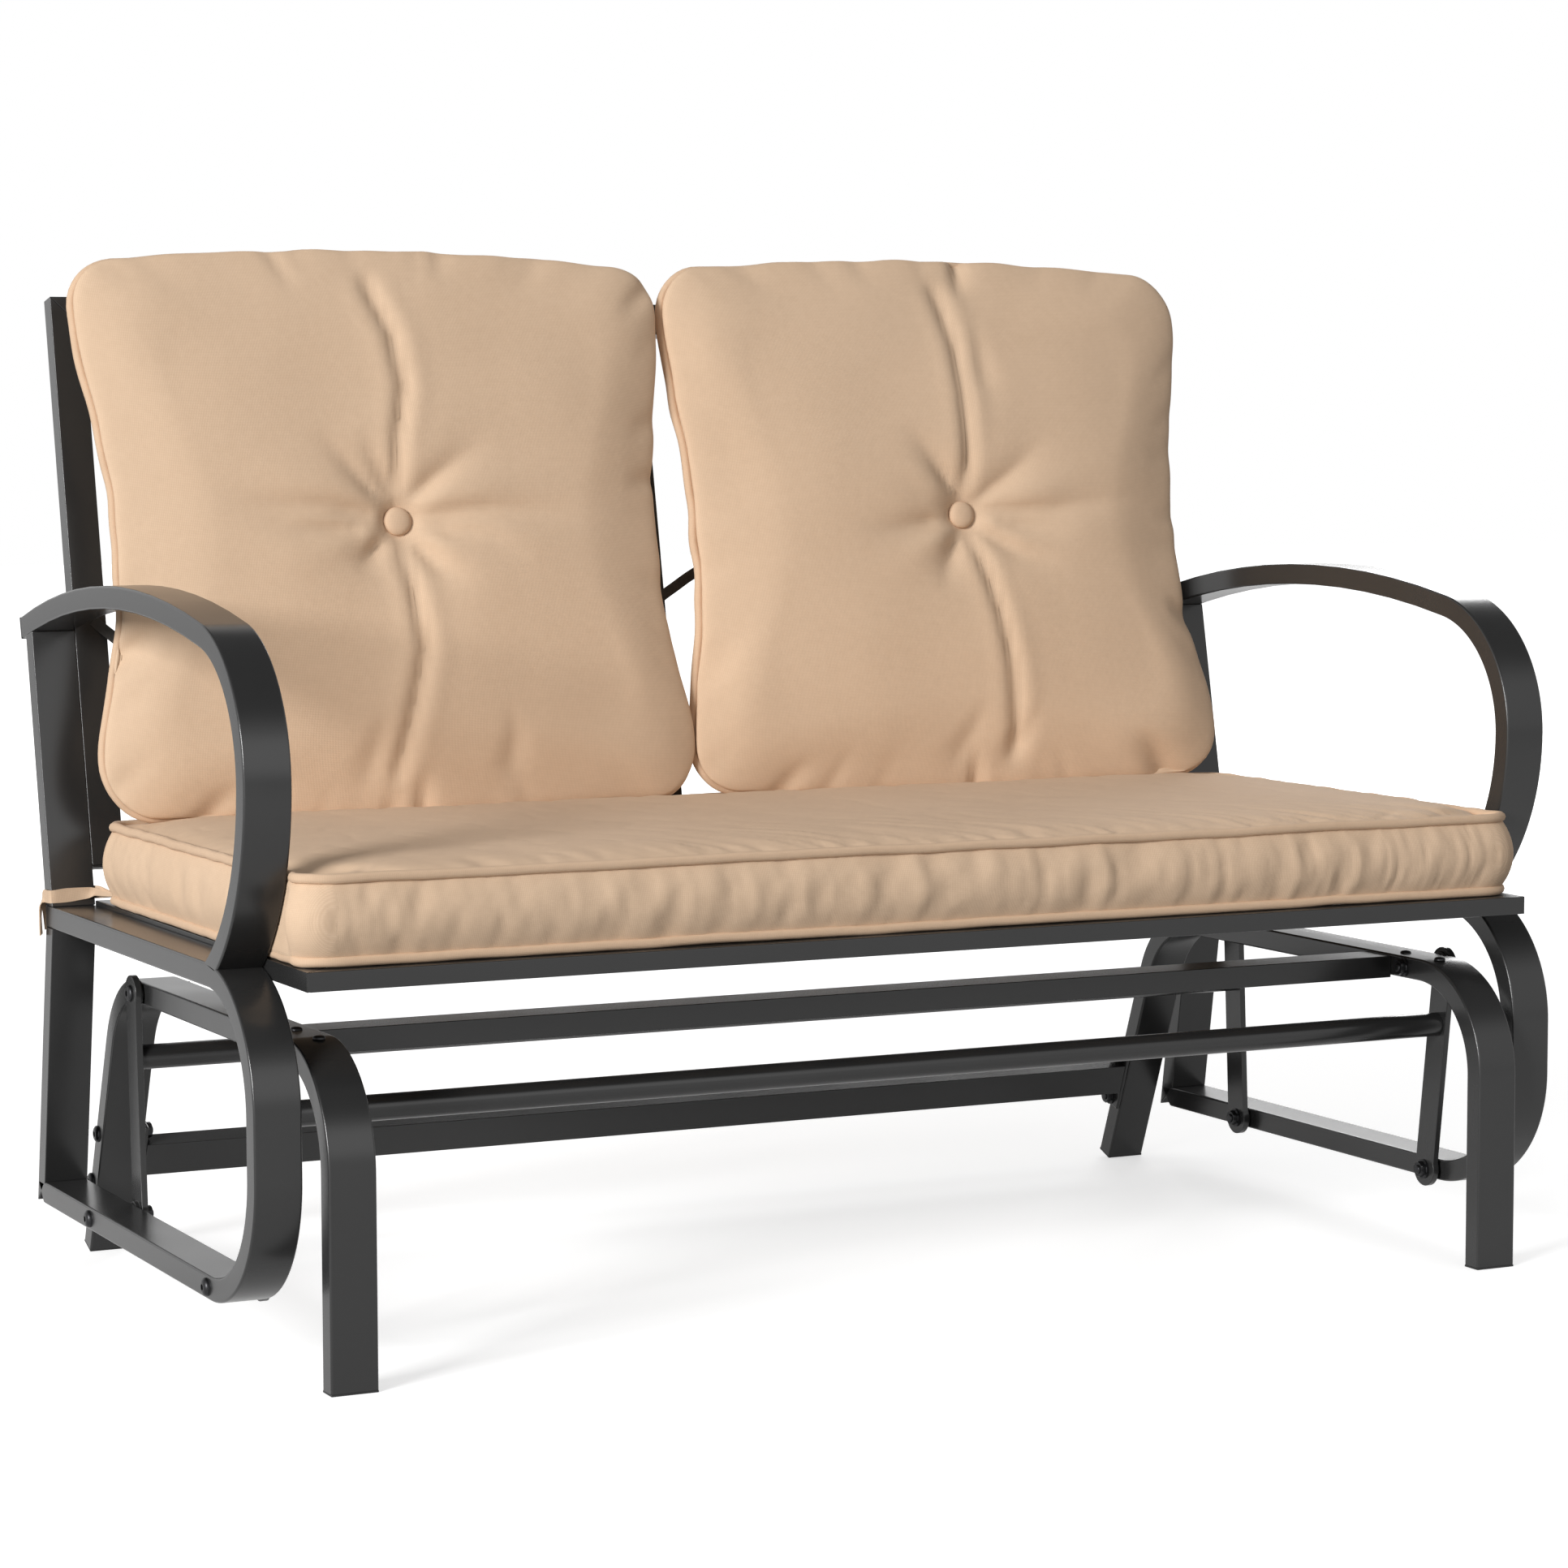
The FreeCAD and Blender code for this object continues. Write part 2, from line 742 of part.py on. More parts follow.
back_cushion_width = seat_inner - back_cushion_side_gap - back_cushion_gap / 2
seat_cushion_top = seat_cushion_height + seat_cushion_boxing
back_seam_foot = seat_cushion_top + back_cushion_rest
back_cushion_foot = (back_seam_foot - back_seam_level * math.sin(lean)) / math.cos(lean)
tuft_level = back_seam_level + back_cushion_crown - tuft_depth
back_levels = [
    (back_rear_inset, 0),
    (back_shoulder_inset, back_shoulder_level),
    (0, back_seam_level),
]
back_cushion = walls(back_cushion_width, back_cushion_height, back_side_draw, back_levels)
back_crown = dome(
    back_cushion_width,
    back_cushion_height,
    back_side_draw,
    back_crown_lip,
    back_cushion_crown,
)
back_cushion = back_cushion.fuse(back_crown.translated(Vector(0, 0, back_seam_level)))
tuft_mouth = tuft_radius + tuft_slope * 2 * tuft_depth
back_cushion = back_cushion.cut(
    Part.makeCone(tuft_radius, tuft_mouth, 2 * tuft_depth, Vector(0, 0, tuft_level))
)
button = Part.makeCone(button_radius, button_radius / 2, button_height)


def on_back(shape, level):
    """Stand a piece drawn lying flat against the right half of the back."""
    middle_x = (back_cushion_gap + back_cushion_width) / 2
    middle_height = back_cushion_foot + back_cushion_height / 2
    stood = shape.copy()
    stood.Placement = (
        Placement(Vector(middle_x, -soft_play, middle_height), Rotation(Vector(1, 0, 0), 90))
        * Placement(Vector(0, 0, level), Rotation())
        * stood.Placement
    )
    return leaned(stood)


save_sides("back_cushion", on_back(back_cushion, 0))
save("back_cushion_buttons", both([on_back(button, tuft_level + soft_play)]))

# Ties at the rear corners of the seat cushion, each round the foot of an upper upright

tie_low = (seat_frame_top + soft_play + upright_depth * back_slope) / math.cos(lean)
ring_outer = block(
    Vector(seat_inner - soft_play - tie_thick, -soft_play - tie_thick, tie_low),
    Vector(seat_outer + soft_play + tie_thick, tube_depth + soft_play + tie_thick, tie_low + tie_width),
)
ring_inner = block(
    Vector(seat_inner - soft_play, -soft_play, tie_low),
    Vector(seat_outer + soft_play, tube_depth + soft_play, tie_low + tie_width),
)
tie = leaned(ring_outer.cut(ring_inner))
tie_height = seat_frame_top + tie_width / 2
corner_reach = cushion_corner * (1 - math.sqrt(0.5)) - 2 * soft_play
strap_line = [
    point(seat_inner - tie_thick, back_plane(tie_height) - soft_play),
    point(seat_cushion_width / 2 - corner_reach, seat_cushion_rear - corner_reach),
]
strap = laid(straight(*strap_line, seat_cushion_height, tie_width, tie_thick))
tail_middle = back_plane(seat_rail_top) + upright_depth / 2
tail = block(
    Vector(seat_outer + soft_play, tail_middle - tie_width / 2, seat_rail_top - tie_tail + tie_width),
    Vector(seat_outer + soft_play + tie_thick, tail_middle + tie_width / 2, seat_frame_top + tie_width),
)
save("seat_cushion_ties", both([tie.fuse([strap, tail])]))
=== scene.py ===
# %% [markdown]
# # A glider bench for two
# The bench is black powder-coated rectangular tube with tan outdoor cushions. Its seat
# hangs on four swinging links, so it glides to and fro over a fixed base. This lesson
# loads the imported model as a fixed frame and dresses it, piece by piece, with shapes and
# finishes that follow the real bench. Every size below is in millimetres, unless it says
# otherwise, and MM turns it into the scene's metres.

import json
import math
from contextlib import contextmanager
from functools import partial

import bmesh
import bpy
import numpy as np
from mathutils import Matrix, Vector, noise

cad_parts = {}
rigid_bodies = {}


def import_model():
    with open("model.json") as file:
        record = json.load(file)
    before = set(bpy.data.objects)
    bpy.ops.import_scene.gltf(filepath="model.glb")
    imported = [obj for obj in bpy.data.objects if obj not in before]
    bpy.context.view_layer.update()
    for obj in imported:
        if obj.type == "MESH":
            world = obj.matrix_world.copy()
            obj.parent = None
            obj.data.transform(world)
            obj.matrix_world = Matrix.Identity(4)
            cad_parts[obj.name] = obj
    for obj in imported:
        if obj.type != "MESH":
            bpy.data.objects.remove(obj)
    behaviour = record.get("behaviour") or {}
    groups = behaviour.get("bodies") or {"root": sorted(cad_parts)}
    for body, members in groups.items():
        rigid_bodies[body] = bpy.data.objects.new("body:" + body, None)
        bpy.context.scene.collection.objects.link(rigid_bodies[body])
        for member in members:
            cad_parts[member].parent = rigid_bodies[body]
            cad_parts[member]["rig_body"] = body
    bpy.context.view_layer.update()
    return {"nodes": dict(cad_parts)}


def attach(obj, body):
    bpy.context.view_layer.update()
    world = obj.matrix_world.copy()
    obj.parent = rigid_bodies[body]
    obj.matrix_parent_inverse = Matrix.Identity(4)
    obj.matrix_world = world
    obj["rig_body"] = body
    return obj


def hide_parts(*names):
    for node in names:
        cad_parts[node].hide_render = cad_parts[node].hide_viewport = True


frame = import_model()
MM = 0.001

# %% [markdown]
# ## Colours, nodes and objects
# A designer picks colours as sRGB hex values, while shaders work in linear light. One
# function turns one into the other. A second one adds any node with its settings and its
# links, so the materials and the Geometry Nodes trees below stay short.

# %% Helpers for colours, nodes and objects


def linear(hex_colour):
    """Turn an sRGB hex value into linear red, green, blue and alpha."""
    channels = [int(hex_colour[place:place + 2], 16) / 255 for place in (1, 3, 5)]
    lit = [c / 12.92 if c <= 0.04045 else ((c + 0.055) / 1.055) ** 2.4 for c in channels]
    return (*lit, 1.0)


def add_node(tree, kind, inputs=None, **settings):
    """Add a node and fill its inputs, or link them to a socket or a node's first output."""
    node = tree.nodes.new(kind)
    for name, value in settings.items():
        setattr(node, name, value)
    for key, value in (inputs or {}).items():
        if isinstance(value, bpy.types.Node):
            value = value.outputs[0]
        if isinstance(value, bpy.types.NodeSocket):
            tree.links.new(value, node.inputs[key])
        else:
            node.inputs[key].default_value = value
    return node


def clear_nodes(owner):
    """Empty the node tree of a material or world, and return a short way to add to it."""
    owner.use_nodes = True
    owner.node_tree.nodes.clear()
    return partial(add_node, owner.node_tree)


def new_material(name):
    """An empty material, a short way to add its nodes, and the object's own coordinates."""
    material = bpy.data.materials.new(name)
    add = clear_nodes(material)
    return material, add, add("ShaderNodeTexCoord").outputs["Object"]


def new_object(name, data):
    """An object in the scene."""
    made = bpy.data.objects.new(name, data)
    bpy.context.scene.collection.objects.link(made)
    return made


# %% [markdown]
# ## Camera
# The view was worked out from the straight edges of the bench: a long lens, a little above
# the seat and well to the left of the middle.

# %% Place the camera
VIEW_TURN = math.radians(-26.249)
VIEW_DROP = math.radians(4.859)
VIEW_ROLL = math.radians(-0.1175)
LENS = 94.6
CAMERA_PLACE = Vector((-1655.3, -3364.2, 753.6)) * MM

camera_data = bpy.data.cameras.new("studio_camera")
camera_data.lens = LENS
camera_data.sensor_width = 36
camera_data.sensor_fit = "HORIZONTAL"
camera = new_object("studio_camera", camera_data)
camera.matrix_world = (
    Matrix.Translation(CAMERA_PLACE)
    @ Matrix.Rotation(VIEW_TURN, 4, "Z")
    @ Matrix.Rotation(math.pi / 2 - VIEW_DROP, 4, "X")
    @ Matrix.Rotation(VIEW_ROLL, 4, "Z")
)
bpy.context.scene.camera = camera
bpy.context.scene.view_settings.view_transform = "Standard"
print("camera at", [round(v, 3) for v in camera.location])

# %% [markdown]
# ## Floor and light
# A product studio is a pale floor, a large soft light from the left, weaker ones from the
# front and from behind, and a pale surround. The surround is white for the camera, and it
# lights the bench less than it shows, so that pale cloth doesn't burn out. Reflections
# see it white to the sides and dark overhead, which gives the bent tubes their dark and
# bright bands. The floor gives off a little of its own light to the camera and to
# reflections, which lifts it to white in both and keeps the soft shadow. Light that it
# scatters back is held down, so the undersides of the cushions stay in shade.

# %% Surround
SKY_LIGHT = 0.34
GLOSS_LIGHT = 0.95
CEILING_GLOSS = 0.12
# upward parts of a ray's direction, between which the ceiling darkens
CEILING_EDGE = (0.5, 0.75)

world = bpy.data.worlds.new("studio_surround")
bpy.context.scene.world = world
add = clear_nodes(world)
rays = add("ShaderNodeLightPath").outputs
mirrored_ray = add(
    "ShaderNodeMath",
    {0: rays["Is Glossy Ray"], 1: rays["Is Transmission Ray"]},
    operation="MAXIMUM",
)
strength = add(
    "ShaderNodeMapRange", {"Value": mirrored_ray, "To Min": SKY_LIGHT, "To Max": GLOSS_LIGHT}
)
direction = add("ShaderNodeTexCoord").outputs["Generated"]
ceiling = add(
    "ShaderNodeMapRange",
    {
        "Value": add("ShaderNodeSeparateXYZ", {0: direction}).outputs["Z"],
        "From Min": CEILING_EDGE[0],
        "From Max": CEILING_EDGE[1],
        "To Min": 1.0,
        "To Max": CEILING_GLOSS,
    },
    interpolation_type="SMOOTHSTEP",
)
overhead = add("ShaderNodeMix", {"Factor": rays["Is Glossy Ray"], 2: 1.0, 3: ceiling})
lit = add("ShaderNodeMath", {0: strength, 1: overhead}, operation="MULTIPLY")
level = add("ShaderNodeMath", {0: rays["Is Camera Ray"], 1: lit}, operation="MAXIMUM")
sky = add("ShaderNodeBackground", {"Color": linear("#FFFFFF"), "Strength": level})
add("ShaderNodeOutputWorld", {"Surface": sky})

# %% Floor, sizes in metres
FLOOR_REACH = 20.0
FLOOR_LIFT = 0.6
FLOOR_GLOSS = 0.35
FLOOR_FADE = (1.6, 4.5)

floor_mesh = bpy.data.meshes.new("studio_floor")
corners = [(-1, -1), (1, -1), (1, 1), (-1, 1)]
floor_mesh.from_pydata(
    [(x * FLOOR_REACH, y * FLOOR_REACH, 0) for x, y in corners], [], [(0, 1, 2, 3)]
)
floor_paint, add, place = new_material("studio_floor_paint")
rays = add("ShaderNodeLightPath").outputs
shade = add(
    "ShaderNodeMix",
    {"Factor": rays["Is Diffuse Ray"], 6: linear("#E6E6E6"), 7: linear("#848484")},
    data_type="RGBA",
)
paint = add("ShaderNodeBsdfDiffuse", {"Color": shade.outputs[2]})
away = add("ShaderNodeVectorMath", {0: place}, operation="LENGTH")
far = add(
    "ShaderNodeMapRange",
    {
        "Value": away.outputs["Value"],
        "From Min": FLOOR_FADE[0],
        "From Max": FLOOR_FADE[1],
        "To Min": FLOOR_LIFT,
        "To Max": 1.0,
    },
    interpolation_type="SMOOTHSTEP",
)
seen = add("ShaderNodeMath", {0: rays["Is Camera Ray"], 1: far}, operation="MULTIPLY")
lift = add(
    "ShaderNodeMath",
    {0: rays["Is Glossy Ray"], 1: FLOOR_GLOSS, 2: seen},
    operation="MULTIPLY_ADD",
)
glow = add("ShaderNodeEmission", {"Strength": lift})
add("ShaderNodeOutputMaterial", {"Surface": add("ShaderNodeAddShader", {0: paint, 1: glow})})
floor_mesh.materials.append(floor_paint)
new_object("studio_floor", floor_mesh)

# %% Softboxes: place, target and size in metres, power in watts
SOFTBOXES = {
    "left_softbox": ((-7.6, -4.1, 3.0), (0, 0, 0.5), (2.8, 2.8), 780),
    "front_softbox": ((0.6, -3.8, 1.6), (0, 0, 0.4), (2.4, 1.8), 9),
    "rear_softbox": ((4.2, 5.6, 3.6), (0, 0, 0.5), (3.0, 2.4), 150),
}
for name, (place, target, size, power) in SOFTBOXES.items():
    lamp_data = bpy.data.lights.new(name, "AREA")
    lamp_data.shape = "RECTANGLE"
    lamp_data.size, lamp_data.size_y = size
    lamp_data.energy = power
    lamp = new_object(name, lamp_data)
    lamp.location = place
    lamp.rotation_euler = (Vector(target) - Vector(place)).to_track_quat("-Z", "Y").to_euler()
print("softboxes:", list(SOFTBOXES))

# %% [markdown]
# ## Powder-coated steel
# The frame is welded mild steel tube, dusted with dry polyester powder and baked. The
# melted powder leaves a black skin with a soft gloss and a very fine orange peel. That is
# a dielectric coat, so the material has no metallic part: a near-black colour, a low
# roughness that wanders a little, and a bump with waves of about two millimetres.

# %% Material: powder-coated steel
PEEL_MM = 1.8
SHEEN_PATCH_MM = 90.0


def per_metre(size):
    """The scale at which a pattern has this size in millimetres."""
    return 1 / (size * MM)


powder_coat, add, place = new_material("powder_coated_steel")
peel = add("ShaderNodeTexNoise", {"Vector": place, "Scale": per_metre(PEEL_MM)})
patches = add(
    "ShaderNodeTexNoise",
    {"Vector": place, "Scale": per_metre(SHEEN_PATCH_MM), "Detail": 3.0},
)
gloss = add("ShaderNodeMapRange", {"Value": patches, "To Min": 0.19, "To Max": 0.28})
bump = add("ShaderNodeBump", {"Height": peel, "Strength": 0.1, "Distance": 0.2 * MM})
tint = add(
    "ShaderNodeMix",
    {"Factor": patches, 6: linear("#272727"), 7: linear("#2E2E2E")},
    data_type="RGBA",
).outputs[2]
coat = add(
    "ShaderNodeBsdfPrincipled",
    {"Base Color": tint, "Roughness": gloss, "Normal": bump, "IOR": 1.5},
)
add("ShaderNodeOutputMaterial", {"Surface": coat})
print("powder coat peel:", PEEL_MM, "mm")

# %% [markdown]
# ## Black hardware and plugs
# The pivot bolts and nuts are zinc-plated steel with a black passivation: a metal, darker
# than bare zinc, with faint turning marks. The tube plugs are moulded polyethylene, a waxy
# black with a fine spark-eroded grain of the mould, duller than the paint around them.

# %% Materials: hardware and plugs
TURNING_MM = 0.9
MOULD_GRAIN_MM = 0.8

black_zinc, add, place = new_material("black_passivated_zinc")
marks = add("ShaderNodeTexNoise", {"Vector": place, "Scale": per_metre(TURNING_MM)})
wear = add("ShaderNodeMapRange", {"Value": marks, "To Min": 0.28, "To Max": 0.46})
tint = add(
    "ShaderNodeMix",
    {"Factor": marks, 6: linear("#2A2A2B"), 7: linear("#424244")},
    data_type="RGBA",
).outputs[2]
metal = add(
    "ShaderNodeBsdfPrincipled", {"Base Color": tint, "Roughness": wear, "Metallic": 0.85}
)
add("ShaderNodeOutputMaterial", {"Surface": metal})

plug_plastic, add, place = new_material("moulded_polyethylene")
grain = add("ShaderNodeTexNoise", {"Vector": place, "Scale": per_metre(MOULD_GRAIN_MM)})
shade = add("ShaderNodeTexNoise", {"Vector": place, "Scale": per_metre(SHEEN_PATCH_MM)})
bump = add("ShaderNodeBump", {"Height": grain, "Strength": 0.25, "Distance": 0.2 * MM})
tint = add(
    "ShaderNodeMix",
    {"Factor": shade, 6: linear("#161616"), 7: linear("#212121")},
    data_type="RGBA",
).outputs[2]
plastic = add(
    "ShaderNodeBsdfPrincipled",
    {"Base Color": tint, "Normal": bump, "Roughness": 0.52, "IOR": 1.51},
)
add("ShaderNodeOutputMaterial", {"Surface": plastic})
print("mould grain:", MOULD_GRAIN_MM, "mm")

# %% [markdown]
# ## Bent tubes
# The sides of the base and of the seat and the armrests are rectangular tube, bent on a
# mandrel. On the real bench each is one length of tube, so here each is one path with one
# section swept along it. A Geometry Nodes tree does that well: it rounds the corners of
# the path to the bending radius, sweeps a section with rolled edges and closes its ends.

# %% Geometry Nodes: sweep a section along a path
BEND_STEPS = 30
EDGE_STEPS = 4


def new_tree(name, sizes, shape="Geometry"):
    """A Geometry Nodes tree with a shape, float sizes and a material as its inputs."""
    tree = bpy.data.node_groups.new(name, "GeometryNodeTree")
    face = tree.interface
    face.new_socket(shape, in_out="INPUT", socket_type="NodeSocketGeometry")
    for size in sizes:
        face.new_socket(size, in_out="INPUT", socket_type="NodeSocketFloat")
    face.new_socket("Material", in_out="INPUT", socket_type="NodeSocketMaterial")
    face.new_socket("Geometry", in_out="OUTPUT", socket_type="NodeSocketGeometry")
    add = partial(add_node, tree)
    return tree, add, add("NodeGroupInput").outputs


def end_tree(add, given, geometry):
    """Make the instances real, give them the material and send them out."""
    real = add("GeometryNodeRealizeInstances", {0: geometry})
    dressed = add("GeometryNodeSetMaterial", {0: real, "Material": given["Material"]})
    add("NodeGroupOutput", {0: dressed})


sweep_tree, add, given = new_tree("sweep_rectangular_tube", ["Width", "Depth", "Edge radius"])
bend = add("GeometryNodeInputRadius")
rounded = add(
    "GeometryNodeFilletCurve",
    {"Curve": given[0], "Radius": bend, "Count": BEND_STEPS},
    mode="POLY",
)
even = add("GeometryNodeSetCurveRadius", {"Curve": rounded, "Radius": 1.0})
upright = add("GeometryNodeSetCurveNormal", {"Curve": even, "Normal": (1, 0, 0)}, mode="FREE")
section = add(
    "GeometryNodeCurvePrimitiveQuadrilateral",
    {"Width": given["Width"], "Height": given["Depth"]},
)
rolled = add(
    "GeometryNodeFilletCurve",
    {"Curve": section, "Radius": given["Edge radius"], "Count": EDGE_STEPS},
    mode="POLY",
)
swept = add(
    "GeometryNodeCurveToMesh", {"Curve": upright, "Profile Curve": rolled, "Fill Caps": True}
)
end_tree(add, given, swept)

# %% [markdown]
# A tree only runs on an object, so a small function gives it a carrier, fills its inputs
# by their identifiers, reads the finished mesh back and throws the carrier away. What is
# left is a plain mesh with its place in its vertices.

# %% Helpers: run a tree, add a piece


def new_piece(name, mesh, body, slot, *nodes):
    """Put a finished mesh on a body, and hide the nodes it stands for. The slot is not used."""
    piece = new_object(name, mesh)
    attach(piece, body)
    if nodes:
        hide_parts(*nodes)
    return piece


def finished_mesh(carrier):
    """A plain mesh of what an object's modifiers make. The object itself is removed."""
    graph = bpy.context.evaluated_depsgraph_get()
    mesh = bpy.data.meshes.new_from_object(
        carrier.evaluated_get(graph), preserve_all_data_layers=True, depsgraph=graph
    )
    bpy.data.objects.remove(carrier)
    return mesh


def run_tree(tree, carrier_data, name, material, **sizes):
    """Run a tree on a curve or mesh and return the result as a plain mesh."""
    carrier = new_object(name + "_carrier", carrier_data)
    modifier = carrier.modifiers.new("nodes", "NODES")
    modifier.node_group = tree
    inputs = [item for item in tree.interface.items_tree if item.in_out == "INPUT"]
    identifiers = {item.name: item.identifier for item in inputs}
    modifier[identifiers["Material"]] = material
    for size, value in sizes.items():
        modifier[identifiers[size.replace("_", " ")]] = value
    bpy.context.view_layer.update()
    mesh = finished_mesh(carrier)
    mesh.name = name
    return mesh


@contextmanager
def edited(mesh):
    """A mesh opened for editing, and written back at the end."""
    work = bmesh.new()
    work.from_mesh(mesh)
    yield work
    work.to_mesh(mesh)
    work.free()


def smooth_shade(mesh, edge_angle):
    """Shade a mesh smoothly, apart from edges that bend more than an angle."""
    mesh.shade_smooth()
    mesh.set_sharp_from_angle(angle=edge_angle)


def straight_runs(points, radii=None, closed=False):
    """A path with straight runs between points, with its bending radii, in metres."""
    curve = bpy.data.curves.new("path", "CURVE")
    curve.dimensions = "3D"
    run = curve.splines.new("POLY")
    run.points.add(len(points) - 1)
    run.points.foreach_set("co", np.column_stack([points, np.ones(len(points))]).ravel())
    if radii is not None:
        run.points.foreach_set("radius", radii)
    run.use_cyclic_u = closed
    return curve


# %% Helpers: bent tubes
TUBE_WIDTH = 40.0
TUBE_DEPTH = 20.0
TUBE_EDGE = 2.0
SMOOTH_ANGLE = math.radians(46)
SIDES = {"left": -1, "right": 1}


def bent_tubes(kind, points, radii, middle_x, body, cuts=()):
    """A left and a right bent tube along side-view points, with ends trimmed by planes."""
    for side, sign in SIDES.items():
        path = straight_runs(
            [(sign * middle_x * MM, y * MM, z * MM) for y, z in points],
            [radius * MM for radius in radii],
        )
        name = f"{kind}_tube_{side}"
        mesh = run_tree(
            sweep_tree,
            path,
            name,
            powder_coat,
            Width=TUBE_WIDTH * MM,
            Depth=TUBE_DEPTH * MM,
            Edge_radius=TUBE_EDGE * MM,
        )
        with edited(mesh) as work:
            for (y, z), (across_y, across_z) in cuts:
                cut = bmesh.ops.bisect_plane(
                    work,
                    geom=work.verts[:] + work.edges[:] + work.faces[:],
                    plane_co=(0, y * MM, z * MM),
                    plane_no=(0, across_y, across_z),
                    clear_outer=True,
                )
                rim = [part for part in cut["geom_cut"] if isinstance(part, bmesh.types.BMEdge)]
                bmesh.ops.holes_fill(work, edges=rim)
            bmesh.ops.recalc_face_normals(work, faces=work.faces[:])
        piece = new_piece(name, mesh, body, "powder_coated_steel", f"{kind}_{side}")
        # flat faces stay flat beside their rolled edges
        smooth_shade(mesh, SMOOTH_ANGLE)
        piece.modifiers.new("weighted_normals", "WEIGHTED_NORMAL").keep_sharp = True
        print(name, len(points), "path points", [round(v, 3) for v in piece.dimensions])


# %% [markdown]
# ## Base side frames
# Each side frame is front leg, top rail and splayed rear leg in one tube. The path has
# four points and two bends.

# %% Base side frames
DEPTH_TO_MIDDLE = 351.4
BASE_HEIGHT = 272.0
BASE_BEND = 88.0
BASE_MIDDLE_X = 547.0
FOOT_SPAN = 649.0
LEG_SPLAY = math.radians(21.5)
PLUG_FLANGE = 2.0

leg_up = Vector((-math.sin(LEG_SPLAY), math.cos(LEG_SPLAY)))
leg_back = Vector((math.cos(LEG_SPLAY), math.sin(LEG_SPLAY)))
rear_foot = Vector((FOOT_SPAN - DEPTH_TO_MIDDLE, 0)) + leg_back * TUBE_DEPTH / 2
rail_height = BASE_HEIGHT - TUBE_DEPTH / 2
front_leg_y = TUBE_DEPTH / 2 - DEPTH_TO_MIDDLE
base_path = [
    (front_leg_y, PLUG_FLANGE),
    (front_leg_y, rail_height),
    tuple(rear_foot + leg_up * ((rail_height - rear_foot.y) / leg_up.y)),
    tuple(rear_foot + leg_up * PLUG_FLANGE),
]
bent_tubes("base_side", base_path, [0, BASE_BEND, BASE_BEND, 0], BASE_MIDDLE_X, "base")

# %% [markdown]
# ## Seat sides
# The seat rail runs forward, round the bulge and back again as the lower rail, in one
# tube. Its lower rear end is cut at the mitre where the short upright is welded on.

# %% Seat side loops
SEAT_MIDDLE_X = 600.0
SEAT_RAIL_TOP = 332.0
BULGE_Y = 23.2
BULGE_BEND = 104.0
LOWER_RAIL_BOTTOM = 56.0
LOWER_CORNER_Y = 633.5
BACK_FOOT_Y = 502.8
BACK_LEAN = math.radians(11.585)


def back_plane(height):
    """Y of the back plane, through the front faces of the posts, at a height."""
    return BACK_FOOT_Y - DEPTH_TO_MIDDLE + height * math.tan(BACK_LEAN)


seat_rail_end = back_plane(SEAT_RAIL_TOP) + TUBE_DEPTH / math.cos(BACK_LEAN)
upper_z = SEAT_RAIL_TOP - TUBE_DEPTH / 2
lower_z = LOWER_RAIL_BOTTOM + TUBE_DEPTH / 2
bulge_y = BULGE_Y + TUBE_DEPTH / 2 - DEPTH_TO_MIDDLE
corner_rear = LOWER_CORNER_Y - DEPTH_TO_MIDDLE
lower_lean = math.atan2(
    corner_rear - seat_rail_end, SEAT_RAIL_TOP - TUBE_DEPTH - LOWER_RAIL_BOTTOM
)
half = TUBE_DEPTH / 2
corner_y = corner_rear - half * math.tan(lower_lean) - half / math.cos(lower_lean)
mitre_turn = (math.pi / 2 - lower_lean) / 2
loop_path = [
    (seat_rail_end - PLUG_FLANGE, upper_z),
    (bulge_y, upper_z),
    (bulge_y, lower_z),
    (corner_y + TUBE_WIDTH, lower_z),
]
loop_mitre = ((corner_y, lower_z), (math.cos(mitre_turn), -math.sin(mitre_turn)))
bent_tubes(
    "seat_side", loop_path, [0, BULGE_BEND, BULGE_BEND, 0], SEAT_MIDDLE_X, "seat", [loop_mitre]
)

# %% [markdown]
# ## Armrests
# Each armrest is three arcs that run into each other: a long flat one over the top, a
# tight one round the nose and a middling one down to the bulge, where it is welded on.
# The arcs are stepped finely enough to look smooth in the paint.

# %% Armrests
ARM_APEX = (366.0 - DEPTH_TO_MIDDLE, 626.0)
ARM_RADII = (1168.0, 126.0)
ARM_FRONT_Y = 37.2 - DEPTH_TO_MIDDLE
ARM_REAR_Y = 659.0 - DEPTH_TO_MIDDLE
ARM_FOOT_Y = 135.3 - DEPTH_TO_MIDDLE
ARM_FOOT_CUT = ((141.0 - DEPTH_TO_MIDDLE, 331.0), (0.15, -1.0))
ARM_STEP = math.radians(2.5)
LEAST_ARC_STEPS = 12
LEAST_RUN = 1.0

top_radius, nose_radius = ARM_RADII
top_centre = Vector((ARM_APEX[0], ARM_APEX[1] - top_radius))
nose_y = ARM_FRONT_Y + nose_radius
nose_rise = math.sqrt((top_radius - nose_radius) ** 2 - (nose_y - ARM_APEX[0]) ** 2)
nose_centre = Vector((nose_y, top_centre.y + nose_rise))
foot_run = ARM_FOOT_Y - ARM_FRONT_Y
foot_drop = nose_centre.y - (SEAT_RAIL_TOP - TUBE_DEPTH)
front_radius = (foot_run ** 2 + foot_drop ** 2) / (2 * foot_run)
front_centre = Vector((ARM_FRONT_Y + front_radius, nose_centre.y))
rear_angle = math.acos((ARM_REAR_Y - ARM_APEX[0]) / top_radius) + PLUG_FLANGE / top_radius
meet_angle = math.atan2(nose_rise, nose_y - ARM_APEX[0])
foot_angle = math.pi + 2 * math.atan2(foot_run, foot_drop)
arm_path = []
